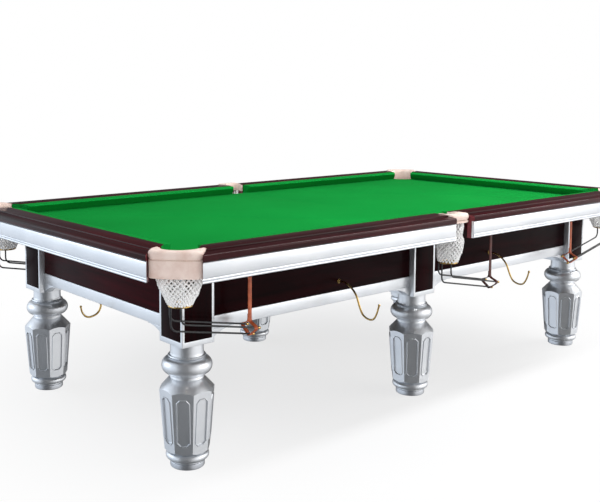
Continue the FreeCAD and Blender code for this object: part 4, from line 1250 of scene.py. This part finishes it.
def ribbon(path):
    """A strap along a path in the YZ plane, with rounded edges."""
    section = [(STRAP_HALF, 0.0006), (STRAP_HALF - 0.0008, STRAP_SKIN), (0, STRAP_SKIN),
               (-STRAP_HALF + 0.0008, STRAP_SKIN), (-STRAP_HALF, 0.0006), (-STRAP_HALF, -0.0006),
               (-STRAP_HALF + 0.0008, -STRAP_SKIN), (0, -STRAP_SKIN), (STRAP_HALF - 0.0008, -STRAP_SKIN),
               (STRAP_HALF, -0.0006)]
    rings = []
    for i, spot in enumerate(path):
        ahead = (path[min(i + 1, len(path) - 1)] - path[max(i - 1, 0)]).normalized()
        out = Vector((1, 0, 0)).cross(ahead)
        rings.append([spot + Vector((1, 0, 0)) * a + out * b for a, b in section])
    return Solid().add(*loft(rings))


def strap_at(ring):
    """Down from the block, round the three rods and up behind itself."""
    x, y, z = ring
    fall = (STRAP_AT + STRAP_HALF) * tan(RUN_SLOPE)
    keel = z - KEEL_DROP - RUN_BEND - fall
    top = STRAP_TOPS[0] if abs(x) > 0.1 else STRAP_TOPS[1]
    corners = [(-0.0015, top - keel - 0.001), (-0.0016, 0.120), (-0.0020, 0.060), (-0.006, 0.0475),
               (-0.020, 0.0405), (-0.0345, 0.0345), (-0.0402, 0.0275), (-0.0345, 0.0190), (-0.018, 0.0070),
               (0, -0.0056), (0.018, 0.0070), (0.0345, 0.0190), (0.0402, 0.0275), (0.0345, 0.0345),
               (0.020, 0.0400), (0.007, 0.0465), (0.0018, 0.058), (0.0016, 0.076)]
    return ribbon(soft_path([(x + STRAP_AT, y + a, keel + b) for a, b in corners]))


def bridle(name, light, dark):
    """Bridle leather: waxed face with pull-up in tone, and pores."""
    hide = Finish(name, {"Coat Weight": 0.12, "Coat Roughness": 0.3})
    where = hide.place()
    mottle = hide.noise(where, 40.0, detail=4.0)
    pores = hide.cells(where, 1100.0)
    hide.feed("Base Color", hide.ramped(mottle, (0.3, dark), (0.7, light)))
    hide.feed("Roughness", 0.38 + pores * 0.3)
    hide.bump(pores + mottle, 0.0003)
    return hide.material


TAN = bridle("tan_bridle", (0.55, 0.125, 0.040), (0.34, 0.062, 0.020))
OXBLOOD = bridle("oxblood_bridle", (0.115, 0.016, 0.008), (0.050, 0.006, 0.004))


everywhere(strap_at, middle_slot=1).piece(
    "looped_straps", [TAN, OXBLOOD], "strap_leather", ["runner_straps"], smooth=50)


def screws_at(ring):
    """Two round heads with a slot, on the strap's top."""
    x, y, z = ring
    top = STRAP_TOPS[0] if abs(x) > 0.1 else STRAP_TOPS[1]
    heads = Solid()
    for rise, turn in ((0.008, 0.5), (0.020, 1.9)):
        rings = []
        for r, out in SCREW_PROFILE:
            ring_points = []
            for k in range(32):
                t = 2 * pi * k / 32
                a, b = r * cos(t), r * sin(t)
                across = abs(a * cos(turn) + b * sin(turn))
                sunk = 0.0012 if across < 0.0005 and out > 0.001 else 0
                ring_points.append((x + STRAP_AT + a, y - 0.003 - out + sunk, top - 0.030 + rise + b))
            rings.append(ring_points)
        heads.add(*loft(rings))
    return heads


everywhere(screws_at).piece("strap_screw_heads", [BRASS], "brass", ["strap_screws"], smooth=30)


# ---------------------------------------------------------------- hooks for the rests
# Bent brass hooks hold the long rests: two on each side beam and one under each end band. Each ends in
# a ball and stands on a turned boss.
SIDE_HOOK = [(0, 0), (0.14, 0.0), (0.30, 0.12), (0.43, 0.33), (0.52, 0.66), (0.60, 0.88), (0.7, 0.97),
             (0.80, 0.985), (0.88, 0.93), (0.95, 0.75), (1, 0.5)]
END_HOOK = [(0, 0), (0.02, 0.20), (0.08, 0.52), (0.18, 0.76), (0.3, 0.9), (0.46, 0.985), (0.62, 1.0),
            (0.78, 0.87), (0.9, 0.6), (0.97, 0.3), (1, 0.0)]
SIDE_ROOT = Vector((-0.533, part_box("side_beam_front_left")[0].y, 0.614))
END_ROOT = Vector((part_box("end_beam_left")[0].x + 0.010, 0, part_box("end_bands")[0].z))
WIRE_RADIUS, BOSS, PLATE = 0.004, 0.010, 0.0062
SIDE_REACH, SIDE_FALL, END_REACH, END_FALL = 0.2224, 0.133, 0.096, 0.0457
BOSS_PROFILE = [(0.0, BOSS - 0.0006), (0.0006, BOSS), (0.0016, BOSS), (0.0022, BOSS - 0.0012),
                (0.0030, BOSS - 0.0016), (0.0044, BOSS - 0.0034), (0.0056, 0.0052), (0.0062, 0.0044)]
BALL, BALL_STEPS = 0.0056, 9


def boss(root, out):
    """A turned boss that stands out from its root."""
    path = [Vector(root) + Vector(out) * along for along, _ in BOSS_PROFILE]
    return tube(path, [r for _, r in BOSS_PROFILE], 40)


def hook(path):
    """Tapered wire with a ball at its tip."""
    line = soft_path(path, 6)
    radii = [WIRE_RADIUS * (1.12 - 0.2 * i / (len(line) - 1)) for i in range(len(line))]
    tip = line[-1]
    ahead = (tip - line[-2]).normalized()
    for i in range(1, BALL_STEPS + 1):
        turn = pi * i / BALL_STEPS
        line.append(tip + ahead * 0.0048 * (1 - cos(turn)))
        radii.append(max(0.0006, BALL * sin(turn) + (0.0012 if i < 2 else 0)))
    return tube(line, radii, 20)


def side_hook():
    """The long hook that stands out from its boss on the front beam."""
    root = SIDE_ROOT - Vector((0, PLATE, 0))
    return hook([root + Vector((0, -a * SIDE_REACH, -b * SIDE_FALL)) for a, b in SIDE_HOOK])


def end_hook():
    """The short hook that hangs from its boss under the left end band."""
    root = END_ROOT - Vector((0, 0, PLATE))
    return hook([root + Vector((-a * END_REACH, 0, -b * END_FALL)) for a, b in END_HOOK])


def around_table(side, end):
    """A front side piece at its four places, and an end piece at both ends."""
    front, left = Solid().add(*side), Solid().add(*end)
    fronts = [front.mirrored(x, y) for x, y in QUARTERS]
    return Solid().joined(*fronts, left, left.mirrored(x=-1))


around_table(side_hook(), end_hook()).piece("rest_hook_wires", [BRASS], "brass", ["rest_hooks"], smooth=60)
around_table(boss(SIDE_ROOT, (0, -1, 0)), boss(END_ROOT, (0, 0, -1))).piece(
    "hook_bosses", [BRASS], "brass", ["hook_plates"], smooth=40)


# ---------------------------------------------------------------- studio
# A pale seamless floor runs out to white. A broad panel hangs overhead, with a narrow strip beside it that
# draws a highlight along the rails, and three more panels stand round the table.
def studio_floor():
    mesh = bpy.data.meshes.new("studio_floor")
    mesh.from_pydata([(-30, -30, 0), (30, -30, 0), (30, 30, 0), (-30, 30, 0)], [], [(0, 1, 2, 3)])
    floor = bpy.data.objects.new("studio_floor", mesh)
    bpy.context.scene.collection.objects.link(floor)
    paper = Finish("studio_paper", {"Specular IOR Level": 0.0})
    where = paper.place()
    away = paper.node("ShaderNodeVectorMath", {"operation": "LENGTH"}, {0: where}, out=1)
    fade = paper.node("ShaderNodeMapRange", {"interpolation_type": "SMOOTHSTEP"},
                      {"Value": away, "From Min": 0.6, "From Max": 2.4, "To Min": 0.72})
    tone = paper.noise(where, 0.8)
    paper.feed("Base Color", paper.ramped(tone, (0.3, (0.86, 0.86, 0.87)), (0.7, (0.90, 0.90, 0.90))))
    glow = paper.node("ShaderNodeEmission", None, {"Color": (1, 1, 1, 1), "Strength": 1.0})
    seen = paper.node("ShaderNodeLightPath")
    shader = Wire(paper, paper.shader.outputs[0])
    mix = paper.node("ShaderNodeMixShader", None, {0: fade * seen, 1: shader, 2: glow})
    paper.tree.links.new(mix.socket, paper.tree.nodes["Material Output"].inputs["Surface"])
    mesh.materials.append(paper.material)
    floor.visible_glossy = False


def studio_world():
    world = bpy.data.worlds.new("studio")
    world.use_nodes = True
    bpy.context.scene.world = world
    sky = Nodes(world.node_tree)
    seen = sky.node("ShaderNodeLightPath")
    ahead = sky.node("ShaderNodeTexCoord")
    split = sky.node("ShaderNodeSeparateXYZ", None, {0: ahead})
    side = split - Wire(sky, split.socket.node.outputs[1])
    down = 0 - Wire(sky, split.socket.node.outputs[2])
    width = side.math("ABSOLUTE", side, 0.0)
    lobe = sky.node("ShaderNodeMapRange", {"interpolation_type": "SMOOTHSTEP"},
                    {"Value": width, "From Min": 0.35, "From Max": 1.25})
    sunk = sky.node("ShaderNodeMapRange", None, {"Value": down, "From Min": 0.12, "From Max": 0.5})
    power = 0.10 + lobe * (1.0 - 0.45 * sunk)
    cool = sky.node("ShaderNodeMapRange", None, {"Value": side, "From Min": -1.2, "From Max": 0.4})
    tint = sky.node("ShaderNodeMix", {"data_type": "RGBA"},
                    {0: cool, 6: (0.84, 0.91, 1.0, 1), 7: (1, 1, 1, 1)}, out=2)
    room = sky.node("ShaderNodeBackground", None, {"Color": tint, "Strength": power})
    white = sky.node("ShaderNodeBackground", None, {"Color": (1, 1, 1, 1), "Strength": 1.0})
    mix = sky.node("ShaderNodeMixShader", None, {0: seen, 1: room, 2: white})
    world.node_tree.links.new(mix.socket, world.node_tree.nodes["World Output"].inputs["Surface"])


def panel(name, spot, aim, wide, high, power, colour=(1, 1, 1)):
    lamp = bpy.data.lights.new(name, "AREA")
    lamp.shape, lamp.size, lamp.size_y = "RECTANGLE", wide, high
    lamp.energy, lamp.color = power, colour
    light = bpy.data.objects.new(name, lamp)
    light.location = spot
    light.rotation_euler = (Vector(aim) - Vector(spot)).to_track_quat("-Z", "Y").to_euler()
    bpy.context.scene.collection.objects.link(light)
    return light


studio_floor()
studio_world()
panel("overhead", (0, 0, 5.0), (0, 0, 0), 7.0, 5.0, 85)
panel("rail_strip", (2.8, -1.3, 3.5), (2.8, -0.9, 0), 7.0, 0.45, 150)
panel("front_right", (5.0, -6.0, 2.4), (0, 0, 0.5), 6.0, 4.0, 130, (1.0, 0.98, 0.96))
panel("back_left", (-6.0, 5.0, 2.4), (0, 0, 0.5), 5.0, 4.0, 70, (0.86, 0.93, 1.0))
panel("key", (-4.5, -5.0, 3.2), (0, 0, 0.6), 3.0, 3.0, 90).visible_glossy = False
lens = bpy.data.cameras.new("camera")
lens.lens, lens.shift_x, lens.shift_y = 52.97, 0.1, -0.135
camera = bpy.data.objects.new("camera", lens)
camera.location = (-3.1942, -3.24094, 1.42403)
camera.rotation_euler = (radians(84.85), 0, radians(-38.97))
bpy.context.scene.collection.objects.link(camera)
bpy.context.scene.camera = camera
bpy.context.scene.view_settings.view_transform = "Standard"
